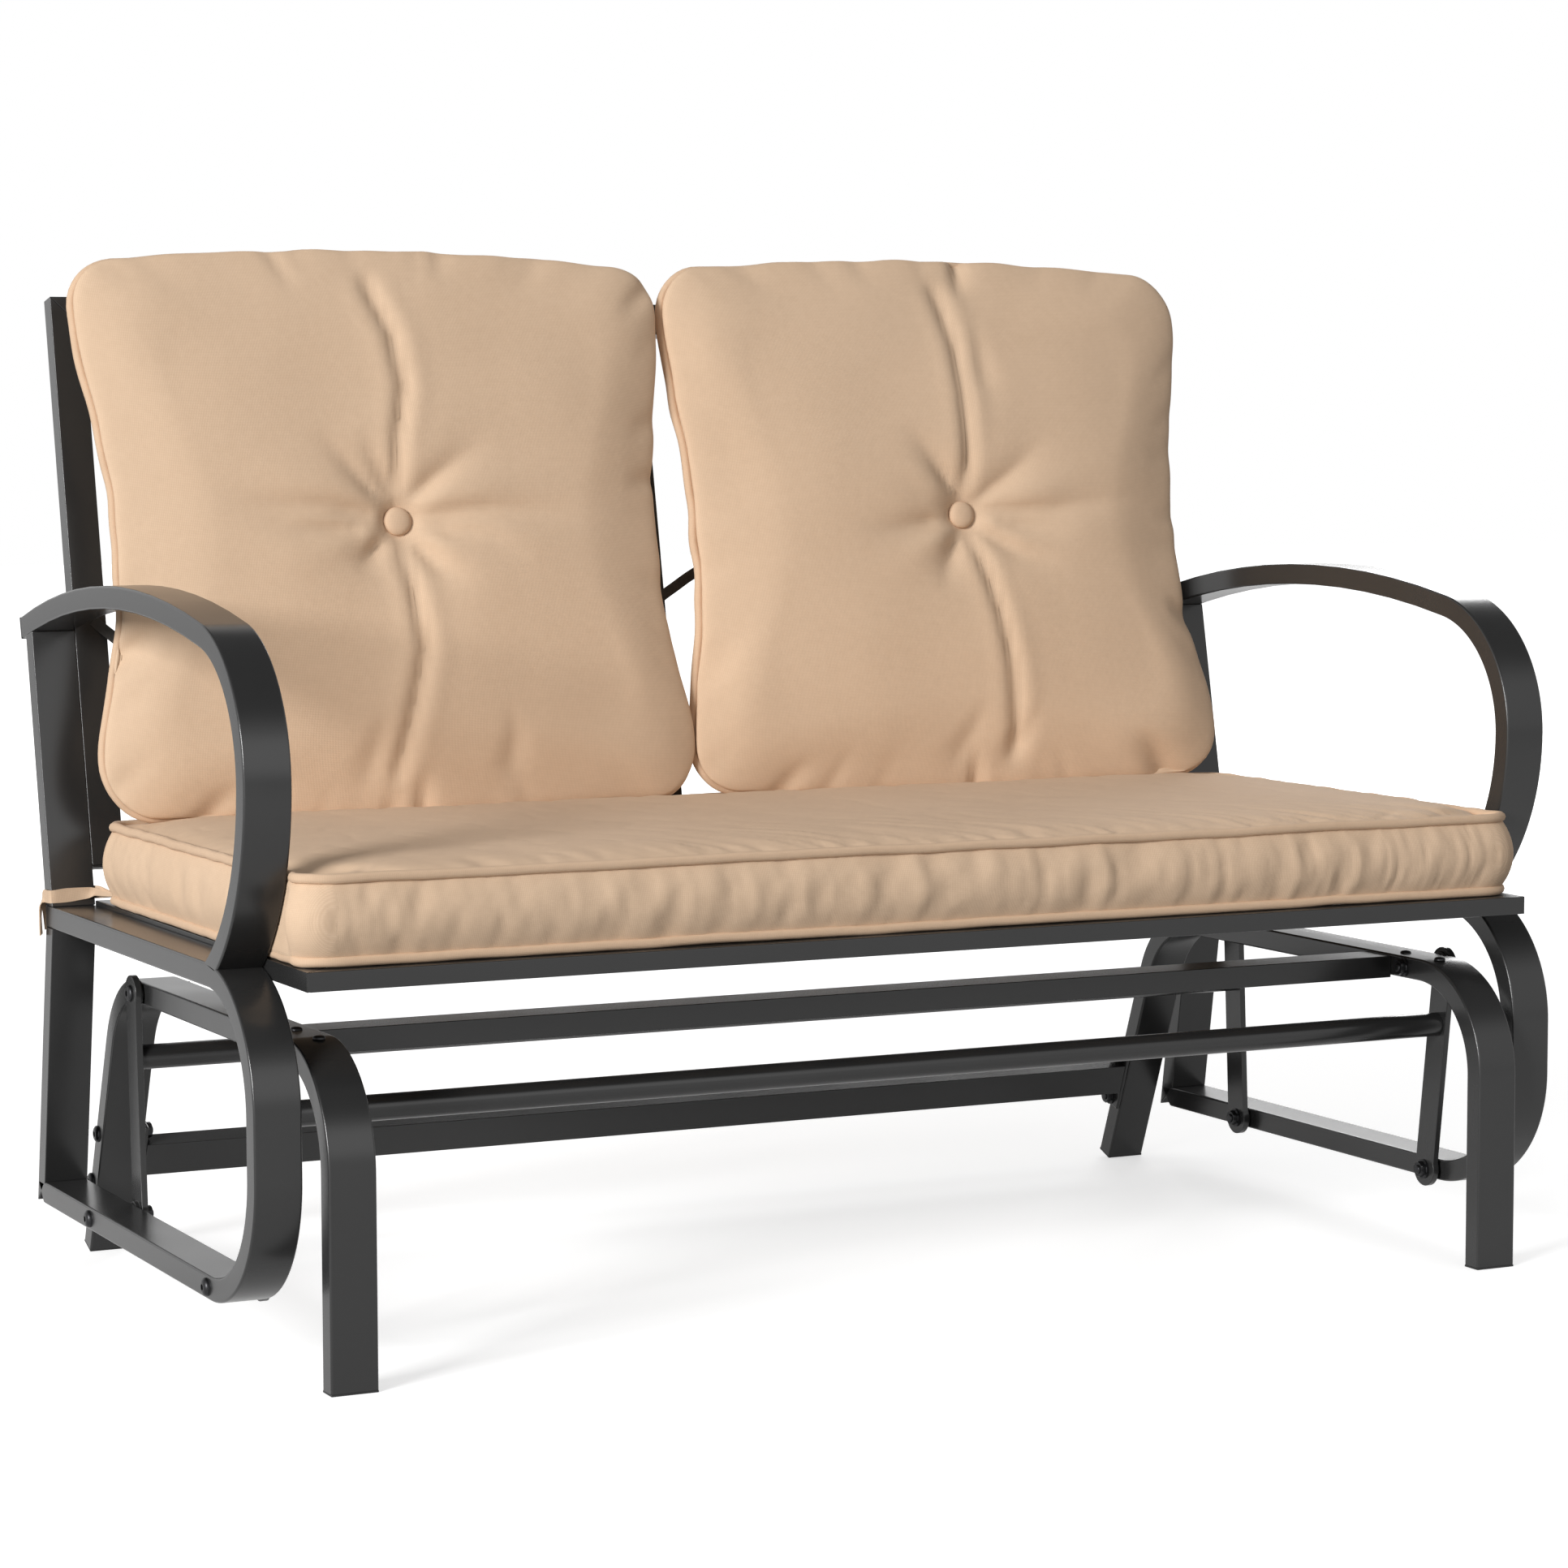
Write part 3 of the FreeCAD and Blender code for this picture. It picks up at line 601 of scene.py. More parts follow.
for centre, radius, start, end in (
    (top_centre, top_radius, rear_angle, meet_angle),
    (nose_centre, nose_radius, meet_angle, math.pi),
    (front_centre, front_radius, math.pi, foot_angle),
):
    steps = max(LEAST_ARC_STEPS, round((end - start) / ARM_STEP))
    for step in range(steps + 1):
        angle = start + (end - start) * step / steps
        spoke = Vector((math.cos(angle), math.sin(angle)))
        spot = centre + spoke * (radius - TUBE_DEPTH / 2)
        if not arm_path or (spot - arm_path[-1]).length > LEAST_RUN:
            arm_path.append(spot)
bent_tubes("armrest", arm_path, [0] * len(arm_path), SEAT_MIDDLE_X, "seat", [ARM_FOOT_CUT])

# %% [markdown]
# ## Straight and flat steel
# Rails, posts, links and plates already have the right shape in the frame, but their
# edges are knife sharp. Real tube has rolled edges and cut plate has broken ones, and
# those catch a thin line of light. A merged copy of each node gets a small bevel with
# hardened normals, and stands for the node.

# %% Rolled edges on straight pieces
WELD_GAP = 0.02
FLAT_ANGLE = math.radians(0.6)
EDGE_ANGLE = math.radians(40)
ROLLED_EDGE = 1.2
BROKEN_EDGE = 0.7
EDGE_SEGMENTS = 2


def softened(node, edge, material, slot):
    """A copy of a node with its edges rounded off."""
    source = frame["nodes"][node]
    mesh = source.data.copy()
    mesh.materials.clear()
    mesh.materials.append(material)
    with edited(mesh) as work:
        bmesh.ops.remove_doubles(work, verts=work.verts[:], dist=WELD_GAP * MM)
        bmesh.ops.dissolve_limit(
            work, angle_limit=FLAT_ANGLE, verts=work.verts[:], edges=work.edges[:]
        )
    smooth_shade(mesh, EDGE_ANGLE)
    piece = new_piece(node + "_shaped", mesh, source["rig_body"], slot, node)
    bevel = piece.modifiers.new("edges", "BEVEL")
    bevel.width = edge * MM
    bevel.segments = EDGE_SEGMENTS
    bevel.limit_method = "ANGLE"
    bevel.angle_limit = EDGE_ANGLE
    bevel.harden_normals = True


TUBE_PIECES = [
    "base_front_rail", "base_rear_rail", "back_bottom_rail", "back_centre_post",
    "back_top_rail", "back_post_left", "back_post_right", "seat_front_rail", "seat_rear_rail",
    "seat_side_rail_left", "seat_side_rail_right", "seat_support_bars",
    "seat_upper_upright_left", "seat_upper_upright_right", "seat_lower_upright_left",
    "seat_lower_upright_right", "base_end_plates",
]
LINK_PIECES = ["rear_link_left", "rear_link_right", "front_link_left", "front_link_right"]
PLUG_PIECES = ["foot_plugs", "side_end_plugs", "back_post_plugs"]
ROUND_PIECES = ["rear_link_tube", "front_link_tube"]
for nodes, edge, material, slot in (
    (TUBE_PIECES, ROLLED_EDGE, powder_coat, "powder_coated_steel"),
    (LINK_PIECES, BROKEN_EDGE, powder_coat, "powder_coated_steel"),
    (PLUG_PIECES, BROKEN_EDGE, plug_plastic, "plug_plastic"),
    (ROUND_PIECES, BROKEN_EDGE, powder_coat, "powder_coated_steel"),
):
    for node in nodes:
        softened(node, edge, material, slot)
    print("softened:", len(nodes), "nodes by", edge, "mm")

# %% [markdown]
# ## Outdoor cloth
# The covers are solution-dyed polyester in a plain weave: matt, a little hairy, and tan.
# It is a dielectric with a soft sheen at grazing angles. The real threads are about half a
# millimetre apart, too fine to show from here, so they are drawn 1.1 mm apart. The weave
# follows the cover's own UV map, which is laid out in metres, and slow noise adds the
# slight unevenness of dyed cloth. The buttons, piping and ties are cut from the same
# cloth, and differ a little because their strips are turned on the bias. The fixing straps
# are black webbing of the same weave, and their dark colour is partly painted shade, for
# the shadow where they pass between the cushions and the posts.

# %% Materials: woven cloth
THREAD_MM = 1.1
SLUB_MM = 7.0
DYE_PATCH_MM = 130.0
# a wave texture has a period of 20 scene units over pi at scale 1
WEAVE_SCALE = 2 * math.pi / 20 * per_metre(THREAD_MM)


def woven(name, light, dark, relief_mm=0.3):
    """Plain weave from two crossed waves on the piece's own UV map, in metres."""
    material, add, place = new_material(name)
    waves = {"Vector": add("ShaderNodeUVMap"), "Scale": WEAVE_SCALE}
    warp = add("ShaderNodeTexWave", waves, bands_direction="X").outputs[1]
    weft = add("ShaderNodeTexWave", waves, bands_direction="Y").outputs[1]
    crossed = add("ShaderNodeMath", {0: warp, 1: weft}, operation="MULTIPLY")
    slub = add(
        "ShaderNodeTexNoise", {"Vector": place, "Scale": per_metre(SLUB_MM), "Detail": 4.0}
    )
    patch = add(
        "ShaderNodeTexNoise", {"Vector": place, "Scale": per_metre(DYE_PATCH_MM), "Detail": 3.0}
    )
    relief = add("ShaderNodeMath", {0: crossed, 1: slub}, operation="ADD")
    bump = add("ShaderNodeBump", {"Height": relief, "Strength": 0.35, "Distance": relief_mm * MM})
    thread = add("ShaderNodeMapRange", {"Value": crossed, "To Min": 0.15, "To Max": 0.75})
    spots = add("ShaderNodeMath", {0: slub, 1: 0.35, 2: thread}, operation="MULTIPLY_ADD")
    blend = add("ShaderNodeMath", {0: patch, 1: 0.3, 2: spots}, operation="MULTIPLY_ADD")
    tint = add(
        "ShaderNodeMix", {"Factor": blend, 6: linear(dark), 7: linear(light)}, data_type="RGBA"
    ).outputs[2]
    rough = add("ShaderNodeMapRange", {"Value": slub, "To Min": 0.78, "To Max": 0.92})
    cloth = add(
        "ShaderNodeBsdfPrincipled",
        {
            "Base Color": tint,
            "Roughness": rough,
            "Normal": bump,
            "Sheen Weight": 0.03,
            "Sheen Roughness": 0.45,
            "IOR": 1.45,
        },
    )
    add("ShaderNodeOutputMaterial", {"Surface": cloth})
    return material


tan_cloth = woven("tan_woven_polyester", "#E2C5A8", "#C8A98A", 0.35)
tan_piping = woven("tan_bias_piping", "#DFC1A4", "#C3A384")
tan_button = woven("tan_button_cover", "#E1C3A6", "#C6A687")
tan_tape = woven("tan_tie_tape", "#E0C5A9", "#C3A486")
# the straps' dark colour is partly painted shade, for the shadow between the cushions and the
# posts
webbing_and_painted_shade = woven("webbing_with_painted_shade", "#474542", "#2F2D2B")
print("cloth thread:", THREAD_MM, "mm")

# %% [markdown]
# ## Covers as grids
# Both kinds of cushion start as grids wrapped on a seam line, which keeps the seam exactly
# where the piping will go. The grids are finer towards the seam, where the cloth turns.

# %% Helpers for covers
TINY = 1e-6


def eased(value):
    """Smooth step from 0 to 1."""
    held = np.clip(value, 0, 1)
    return held * held * (3 - 2 * held)


def crowded_grid(across, deep, crowding):
    """Points of a grid from -1 to 1, finer to its rim, and how far out each one lies."""
    ticks = [
        np.sin(np.linspace(-1, 1, steps + 1) * crowding) / math.sin(crowding)
        for steps in (across, deep)
    ]
    u, v = [grid.ravel() for grid in np.meshgrid(*ticks, indexing="ij")]
    return u, v, np.maximum(np.abs(u), np.abs(v))


def grid_cells(index):
    """The quads between neighbours in a table of vertex numbers."""
    cells = [index[:-1, :-1], index[1:, :-1], index[1:, 1:], index[:-1, 1:]]
    return np.stack(cells, axis=-1).reshape(-1, 4)


def round_corners(x, y, half_x, half_y, radius):
    """Move points beyond both corner lines onto the corner's arc."""
    centres = (half_x - radius, half_y - radius)
    over = np.stack([np.abs(x) - centres[0], np.abs(y) - centres[1]])
    in_corner = (over > 0).all(axis=0)
    length = np.maximum(np.hypot(*over), TINY)
    return [
        np.where(in_corner, np.sign(flat) * (centre + past * radius / length), flat)
        for flat, centre, past in zip((x, y), centres, over)
    ]


def read_points(mesh):
    """All vertices of a mesh as an array."""
    spots = np.empty(len(mesh.vertices) * 3)
    mesh.vertices.foreach_get("co", spots)
    return spots.reshape(-1, 3)


def write_points(mesh, spots):
    """Put an array back as the vertices of a mesh."""
    mesh.vertices.foreach_set("co", spots.ravel())
    mesh.update()


def cover_mesh(name, spots, cells, **fields):
    """A mesh of vertices in millimetres and quads, with a float attribute for each field."""
    mesh = bpy.data.meshes.new(name)
    mesh.from_pydata((spots * MM).tolist(), [], cells.tolist())
    for field, values in fields.items():
        attribute = mesh.attributes.new(field, "FLOAT", "POINT")
        attribute.data.foreach_set("value", values.astype(np.float32))
    return mesh


def read_field(mesh, name):
    """A float attribute of every vertex."""
    values = np.empty(len(mesh.vertices), np.float32)
    mesh.attributes[name].data.foreach_get("value", values)
    return values.astype(float)


def subdivided(mesh):
    """The mesh after one subdivision."""
    carrier = new_object("subdividing", mesh)
    smooth = carrier.modifiers.new("fine", "SUBSURF")
    smooth.levels = smooth.render_levels = 1
    return finished_mesh(carrier)


def lay_cloth(mesh, across, up):
    """Give a cover a UV map in metres, from two arrays of millimetres."""
    corners = np.empty(len(mesh.loops), np.int64)
    mesh.loops.foreach_get("vertex_index", corners)
    layer = mesh.uv_layers.new(name="cloth")
    layer.data.foreach_set("uv", (np.stack([across, up], axis=1)[corners] * MM).ravel())


def add_cushion(name, mesh, node):
    """Put a cushion's cover on the seat, in tan cloth."""
    mesh.materials.append(tan_cloth)
    mesh.shade_smooth()
    piece = new_piece(name, mesh, "seat", "cushion_cloth", node)
    print(name, len(mesh.polygons), "faces", [round(v, 3) for v in piece.dimensions])


# %% [markdown]
# ## Swelling by cloth simulation
# A cloth simulation with an inner pressure swells a cover as fill does. The seam and the
# places that something holds are pinned, so the swelling gathers small natural waves
# beside them. The travel of each point is capped, because the cover can't stretch for
# ever, and one subdivision makes the result fine enough for folds.

# %% Cloth simulation
SWELL_FRAMES = 20
COVER_CLOTH = {
    "vertex_group_mass": "held",
    "use_pressure": True,
    "uniform_pressure_force": 4.0,
    "quality": 6,
    "mass": 0.3,
    "tension_stiffness": 20,
    "compression_stiffness": 20,
    "shear_stiffness": 6,
    "bending_stiffness": 1.5,
    "tension_damping": 10,
    "compression_damping": 10,
}


def swell(mesh, held, slack, most_travel):
    """Let a cover swell while the held vertices keep their places. Returns millimetres."""
    start = read_points(mesh)
    body = new_object("swelling", mesh)
    body.vertex_groups.new(name="held").add(np.flatnonzero(held).tolist(), 1.0, "REPLACE")
    cloth = body.modifiers.new("cloth", "CLOTH")
    cloth.point_cache.frame_start = 1
    cloth.point_cache.frame_end = SWELL_FRAMES
    for name, value in COVER_CLOTH.items():
        setattr(cloth.settings, name, value)
    cloth.settings.shrink_min = -slack
    cloth.settings.effector_weights.gravity = 0
    cloth.collision_settings.use_collision = False
    for number in range(1, SWELL_FRAMES + 1):
        bpy.context.scene.frame_set(number)
    seen = body.evaluated_get(bpy.context.evaluated_depsgraph_get())
    moved = read_points(seen.data) - start
    travel = np.linalg.norm(moved, axis=1)
    cap = most_travel * MM
    limit = np.where(travel > 0, cap * np.tanh(travel / cap) / np.maximum(travel, 1e-9), 1)
    body.modifiers.remove(cloth)
    bpy.data.objects.remove(body)
    bpy.context.scene.frame_set(1)
    return (start + moved * limit[:, None]) / MM


# %% [markdown]
# ## Back cushions
# Each back cushion is a knife-edge pillow: a puffy front panel and a flatter rear one,
# sewn together round a piped seam, with a covered button pulled in at the middle. The
# fill pushes the corners out into ears and lets the sides draw in between them.

# %% Back cushion outline
# half widths at the top, waist and bottom, on the left and the right of each cushion
BACK_CUSHIONS = {
    "left": {
        "middle": -296.0,
        "widths": ((284, 259, 286), (281, 261, 285)),
        "button": (0, 3),
        "seed": 3.0,
    },
    "right": {
        "middle": 281.0,
        "widths": ((281, 264, 285), (281, 258, 286)),
        "button": (13, 3),
        "seed": 11.0,
    },
}
CUSHION_MIDDLE = 666.0
HALF_ABOVE = 247.0
HALF_BELOW = 256.5
CORNER_RADIUS = 46.0
TOP_EAR_SHARPNESS = 1.3
BOTTOM_EAR_SHARPNESS = 2.2
TOP_BOW = 9.0
BOTTOM_BOW = 3.0
SEAM_WAVE = 1.3
SEAM_WAVES_ROUND = (17, 29)


def cushion_edge(u, v, sizes):
    """Points of the seam line for points of a square's rim, from -1 to 1 each way."""
    half_height = np.where(v > 0, HALF_ABOVE, HALF_BELOW)
    corner_start = 1 - CORNER_RADIUS / half_height
    up = np.clip(v / corner_start, -1, 1)
    widths = [
        waist
        + (top - waist) * eased(up) ** TOP_EAR_SHARPNESS
        + (bottom - waist) * eased(-up) ** BOTTOM_EAR_SHARPNESS
        for top, waist, bottom in sizes["widths"]
    ]
    width = np.where(u < 0, widths[0], widths[1])
    bow = np.where(v > 0, TOP_BOW, BOTTOM_BOW) * (1 - np.clip(u / corner_start, -1, 1) ** 2)
    across, along = round_corners(
        u * width, v * (half_height + bow), width, half_height, CORNER_RADIUS
    )
    turn = np.arctan2(along, across)
    seed = sizes["seed"]
    once, twice = SEAM_WAVES_ROUND
    wave = SEAM_WAVE * (np.sin(once * turn + seed) + np.sin(twice * turn + 2 * seed)) / 2
    stretch = 1 + wave / np.maximum(np.hypot(across, along), TINY)
    return across * stretch, along * stretch


# %% [markdown]
# The front panel leaves the seam outwards, rolls over a full shoulder and runs into a
# broad crown, so from the front its wall hides the seam, as on a well-filled pillow. The
# rear panel falls away to the posts: the fourth power keeps its middle broad.

# %% Back cushion grid
GRID_STEPS = 64
GRID_CROWDING = math.pi / 2 * 0.9
SEAM_LEVEL = 74.0
WALL_RISE = 25.0
WALL_RUN = 82.0
WALL_FULLNESS = 2.6
WALL_POWER = 0.56
FOOT_POWER = 0.9
# shares of the half height, from the middle down, where the foot begins and its length
FOOT_FROM, FOOT_LENGTH = 0.45, 0.55
OVERHANG = 9.5
OVERHANG_AT = 6.0
CROWN_RISE = 21.0
CROWN_HALF = (290.0, 264.0)
CROWN_POWERS = (3, 2.5)
REAR_REACH = 98.0
REAR_FULLNESS = 0.84
REAR_CLEARANCE = 0.8


def pillow_grid(sizes):
    """Vertices in millimetres (across, level, up), quads, and each vertex's reach and face."""
    u, v, reach = crowded_grid(GRID_STEPS, GRID_STEPS, GRID_CROWDING)
    safe = np.maximum(reach, TINY)
    across, along = cushion_edge(u / safe, v / safe, sizes)
    size = np.where(reach > TINY, np.hypot(across, along), HALF_ABOVE)
    inside = (1 - reach) * size
    # at the foot, where the weight of the fill settles, the shoulder turns under more slowly
    foot = eased((-along / HALF_BELOW - FOOT_FROM) / FOOT_LENGTH)
    power = WALL_POWER + (FOOT_POWER - WALL_POWER) * foot
    wall = (1 - (1 - np.minimum(inside / WALL_RUN, 1)) ** WALL_FULLNESS) ** power
    outward = OVERHANG * inside / OVERHANG_AT * np.exp(1 - inside / OVERHANG_AT)
    spread = reach + outward / size
    # the crown follows true places, not the grid, so no crease runs in from the corners
    crown = (1 - np.abs(across * reach / CROWN_HALF[0]) ** CROWN_POWERS[0]) * (
        1 - np.abs(along * reach / CROWN_HALF[1]) ** CROWN_POWERS[1]
    )
    rise = WALL_RISE * wall + CROWN_RISE * np.maximum(crown, 0) * eased(inside / WALL_RUN)
    front = np.stack([across * spread, SEAM_LEVEL + rise, along * spread], axis=1)
    behind = SEAM_LEVEL - REAR_REACH * (1 - reach ** 4) ** REAR_FULLNESS
    behind = np.maximum(behind, REAR_CLEARANCE)
    rear = np.stack([across * reach, behind, along * reach], axis=1)
    # both grids share the vertices of the seam
    rim = reach > 1 - TINY
    index = np.arange(len(reach))
    tables = [index, np.where(rim, index, index + len(reach))]
    fronts, rears = [grid_cells(t.reshape(GRID_STEPS + 1, GRID_STEPS + 1)) for t in tables]
    used, cells = np.unique(np.concatenate([fronts, rears[:, ::-1]]), return_inverse=True)
    face = np.where(rim, 0.0, 1.0)
    spots, reaches, faces = [
        np.concatenate(pair)[used] for pair in ((front, rear), (reach, reach), (face, -face))
    ]
    return spots, cells.reshape(-1, 4), reaches, faces


def from_back(middle_x):
    """Matrix from a cushion's own millimetres (across, level, up) to the bench, in metres."""
    foot = Matrix.Translation(Vector((0, BACK_FOOT_Y - DEPTH_TO_MIDDLE, 0)) * MM)
    lean = Matrix.Rotation(-BACK_LEAN, 4, "X")
    place = Matrix.Translation(Vector((middle_x, 0, CUSHION_MIDDLE)) * MM)
    return foot @ lean @ place @ Matrix.Diagonal((MM, -MM, MM, 1))


# %% [markdown]
# ## Folds
# A fold is a soft valley along a bent line with a low ridge on each side, deepest near the
# button and fading out along its length. Puckers are short valleys square to the seam,
# one where the needle gathers a little extra cloth.

# %% Folds and puckers
BUTTON_FOLDS = {
    "left": [
        [(-2, 20), (2, 78), (12, 127), (6, 176), (-8, 215), (-14, 244)],
        [(13, 24), (55, 55), (104, 83)],
        [(-19, 21), (-48, 52), (-68, 75), (-78, 99)],
        [(-10, 29), (-26, 67), (-36, 96)],
        [(-32, 8), (-75, 15), (-144, 18), (-197, 26)],
        [(-45, -6), (-100, -6), (-158, 4)],
        [(-20, -18), (-38, -34), (-49, -52)],
        [(0, -20), (6, -63), (12, -118), (0, -165), (-14, -212), (-22, -248)],
        [(-22, -160), (-36, -200), (-48, -238)],
        [(88, -165), (96, -200), (92, -238)],
        [(11, -16), (38, -47), (65, -64)],
        [(22, -5), (81, -13), (132, -39)],
        [(21, 7), (84, 11), (165, 7), (214, 0)],
    ],
    "right": [
        [(13, 20), (20, 61), (21, 125), (19, 166), (11, 210), (4, 243)],
        [(43, 205), (45, 166), (47, 120)],
        [(5, 22), (-24, 61), (-55, 99)],
        [(26, 14), (68, 43), (119, 85)],
        [(34, 6), (110, 5), (186, 15), (240, 27)],
        [(53, -8), (108, -14), (145, -13)],
        [(27, -12), (68, -37), (131, -56)],
        [(18, -20), (29, -56), (40, -101), (48, -149), (51, -210), (48, -247)],
        [(4, -21), (-14, -52), (-22, -84)],
        [(-10, -4), (-64, -11), (-118, -18)],
        [(18, -176), (2, -212), (-18, -243)],
        [(81, -174), (62, -218), (40, -246)],
    ],
}
FOLD_WIDTH = 8.5
VALLEY_POWER = 1.3
RIDGE_SHARE = 0.2
RIDGE_PLACE = 2.6
RIDGE_NARROWNESS = 0.35
# depth in millimetres, widening along the fold, and the share over which it fades out
SHORT_FOLD = (8.0, 1.4, 0.9)
LONG_FOLD = (6.8, 0.25, 0.12)
LONG_FROM = 215.0
LOOSE_FROM = 100.0
LOOSE_DEPTH = 4.0
PUCKER_DEPTH = 9.0
PUCKER_COUNT = 34
PUCKER_LENGTH = 0.16
PUCKER_JITTER = 0.9
# a base, and how much noise adds to it
PUCKER_STRENGTHS = (0.12, 4.5)
PUCKER_WIDTHS = (0.2, 0.12)
PUCKER_LENGTHS = (0.7, 0.8)


def fold_drop(spots, line):
    """How far a fold presses in points of the plane, in millimetres."""
    line = np.array(line, float)
    steps = np.diff(line, axis=0)
    lengths = np.hypot(*steps.T)
    total = lengths.sum()
    nearest = np.full(len(spots), np.inf)
    along = np.zeros(len(spots))
    before = 0.0
    for start, step, length in zip(line, steps, lengths):
        share = np.clip(((spots - start) @ step) / length ** 2, 0, 1)
        distance = np.linalg.norm(spots - start - share[:, None] * step, axis=1)
        closer = distance < nearest
        nearest = np.where(closer, distance, nearest)
        along = np.where(closer, (before + share * length) / total, along)
        before += length
    depth, widening, tail = LONG_FOLD if total > LONG_FROM else SHORT_FOLD
    off = nearest / (FOLD_WIDTH * (0.55 + widening * along))
    ridge = RIDGE_SHARE * np.exp(-((off - RIDGE_PLACE) ** 2) * RIDGE_NARROWNESS)
    valley = np.exp(-(off ** VALLEY_POWER)) - ridge
    if np.hypot(*line[0]) > LOOSE_FROM:
        # a fold that starts in the open cloth rises and fades, and has no ridge
        rise = eased(along / 0.7) * eased((1.15 - along) / 0.4)
        return LOOSE_DEPTH * rise * np.maximum(valley, 0)
    fade = eased((1 - along) / tail) * (0.55 + 0.45 * eased(along / 0.2))
    return depth * fade * valley


def pucker_drop(turn, reach, seed):
    """Short valleys square to the seam, at uneven places round the cushion."""
    drop = np.zeros_like(turn)
    weakest, stronger = PUCKER_STRENGTHS
    narrow, wider = PUCKER_WIDTHS
    short, longer = PUCKER_LENGTHS
    for number in range(PUCKER_COUNT):
        jitter = noise.noise(Vector((number * 1.7, seed, 0.3)))
        strength = weakest + stronger * noise.noise(Vector((seed, number * 2.3, 1.9))) ** 2
        place = -math.pi + 2 * math.pi * (number + PUCKER_JITTER * jitter) / PUCKER_COUNT
        gap = (turn - place + math.pi) % (2 * math.pi) - math.pi
        span = 2 * math.pi / PUCKER_COUNT * (narrow + wider * jitter)
        inner = PUCKER_LENGTH * (short + longer * abs(jitter))
        drop += strength * np.exp(-((gap / span) ** 2)) * eased((reach - 1 + inner) / inner)
    return PUCKER_DEPTH * drop


def unevenness(a, b, seed):
    """Slow noise from -1 to 1 at pairs of places."""
    return np.array([noise.noise(Vector((p, q, seed))) for p, q in zip(a, b)])


# %% Back cushions
BACK_TRAVEL = 7.0
BACK_SLACK = 0.02
BUTTON_HOLD = 26.0
REST_LEVEL = 2.0
HELD_FROM = 0.999
TUFT_DEPTH = 29.0
TUFT_RADIUS = 13.0
TUFT_SPREAD = 27.0
TUFT_BLEND = 8.0
FILL_PATCH = 120.0
FILL_UNEVENNESS = 3.5
REAR_GATHER = 0.5
REAR_BLEND = 8.0
# shares of the way in from the seam over which each effect sets in
SWELL_BLEND = 0.3
GATHER_BLEND = 0.02
FILL_BLEND = 0.15


def back_cushion_mesh(side, sizes):
    """One back cushion in the bench's place."""
    spots, cells, reaches, faces = pillow_grid(sizes)
    mesh = cover_mesh(f"back_pillow_{side}", spots, cells, reach=reaches, face=faces)
    button = np.array(sizes["button"], float)
    near = np.hypot(spots[:, 0] - button[0], spots[:, 2] - button[1])
    held = (reaches > HELD_FROM) | ((near < BUTTON_HOLD) & (faces > 0))
    held |= (spots[:, 1] < REST_LEVEL) & (faces < 0)
    swollen = swell(mesh, held, BACK_SLACK, BACK_TRAVEL)
    # beside the seam the cover keeps the overhang that hides the piping from the front
    spots += (swollen - spots) * eased((1 - reaches) / SWELL_BLEND)[:, None]
    spots[:, 1] = np.maximum(spots[:, 1], REAR_CLEARANCE)
    write_points(mesh, spots * MM)
    fine = subdivided(mesh)
    spots = read_points(fine) / MM
    reaches, faces = read_field(fine, "reach"), read_field(fine, "face")
    flat = spots[:, [0, 2]]
    off_button = np.hypot(*(flat - button).T) - TUFT_RADIUS
    drop = sum(fold_drop(flat, line) for line in BUTTON_FOLDS[side])
    drop *= eased(off_button / TUFT_BLEND)
    drop += TUFT_DEPTH * np.exp(-np.maximum(off_button, 0) / TUFT_SPREAD)
    turn = np.arctan2(flat[:, 1], flat[:, 0])
    gather = pucker_drop(turn, reaches, sizes["seed"])
    drop += gather * eased((1 - reaches) / GATHER_BLEND)
    fill = unevenness(*(flat / FILL_PATCH).T, sizes["seed"])
    drop -= FILL_UNEVENNESS * fill * eased((1 - reaches) / FILL_BLEND)
    spots[:, 1] -= drop * np.clip(faces, 0, 1)
    rear = np.clip(-faces, 0, 1) * eased(spots[:, 1] / REAR_BLEND)
    spots[:, 1] += rear * gather * REAR_GATHER
    write_points(fine, spots)
    fine.transform(from_back(sizes["middle"]))
    lay_cloth(fine, spots[:, 0], spots[:, 2])
    return fine


for side, sizes in BACK_CUSHIONS.items():
    mesh = back_cushion_mesh(side, sizes)
    add_cushion(f"back_pillow_{side}", mesh, f"back_cushion_{side}")

# %% [markdown]
# ## Seat cushion
# The seat cushion is a boxed one: a top and a bottom panel with a band between them, and
# piping in both seams. It starts as two wrapped grids joined by rings of the band, so its
# seams are exact lines too. The same cloth simulation swells the top and the band. Then
# the band gets its upright wrinkles and the top the slanting ones that the front seam
# pulls in, both from noise that is stretched along the wrinkles.

# %% Seat cushion grid
SEAT_HALF_X = 582.0
SEAT_FRONT = -331.0
SEAT_REAR = 194.0
SEAT_HALF_Y = (SEAT_REAR - SEAT_FRONT) / 2
SEAT_MIDDLE_Y = (SEAT_FRONT + SEAT_REAR) / 2
SEAT_CORNER = 30.0
SEAT_UNDER = 336.3
LOWER_SEAM = 340.8
UPPER_SEAM = 406.0
SEAM_INSET = 4.0
SEAT_CROWN = 10.0
EDGE_RUN = 34.0
BAND_BULGE = 8.5
BAND_FULLNESS = 0.85
BAND_RINGS = 7
SEAT_CELLS = (150, 56)
SEAT_CROWDING = 1.35
ARM_SPAN = (-297.0, -186.0)
ARM_BLEND = 14


def seat_edge(u, v, inset):
    """Points of the seat cushion's outline for points of a square's rim."""
    half_x, half_y = SEAT_HALF_X - inset, SEAT_HALF_Y - inset
    x, y = round_corners(u * half_x, v * half_y, half_x, half_y, SEAT_CORNER)
    return x, y + SEAT_MIDDLE_Y


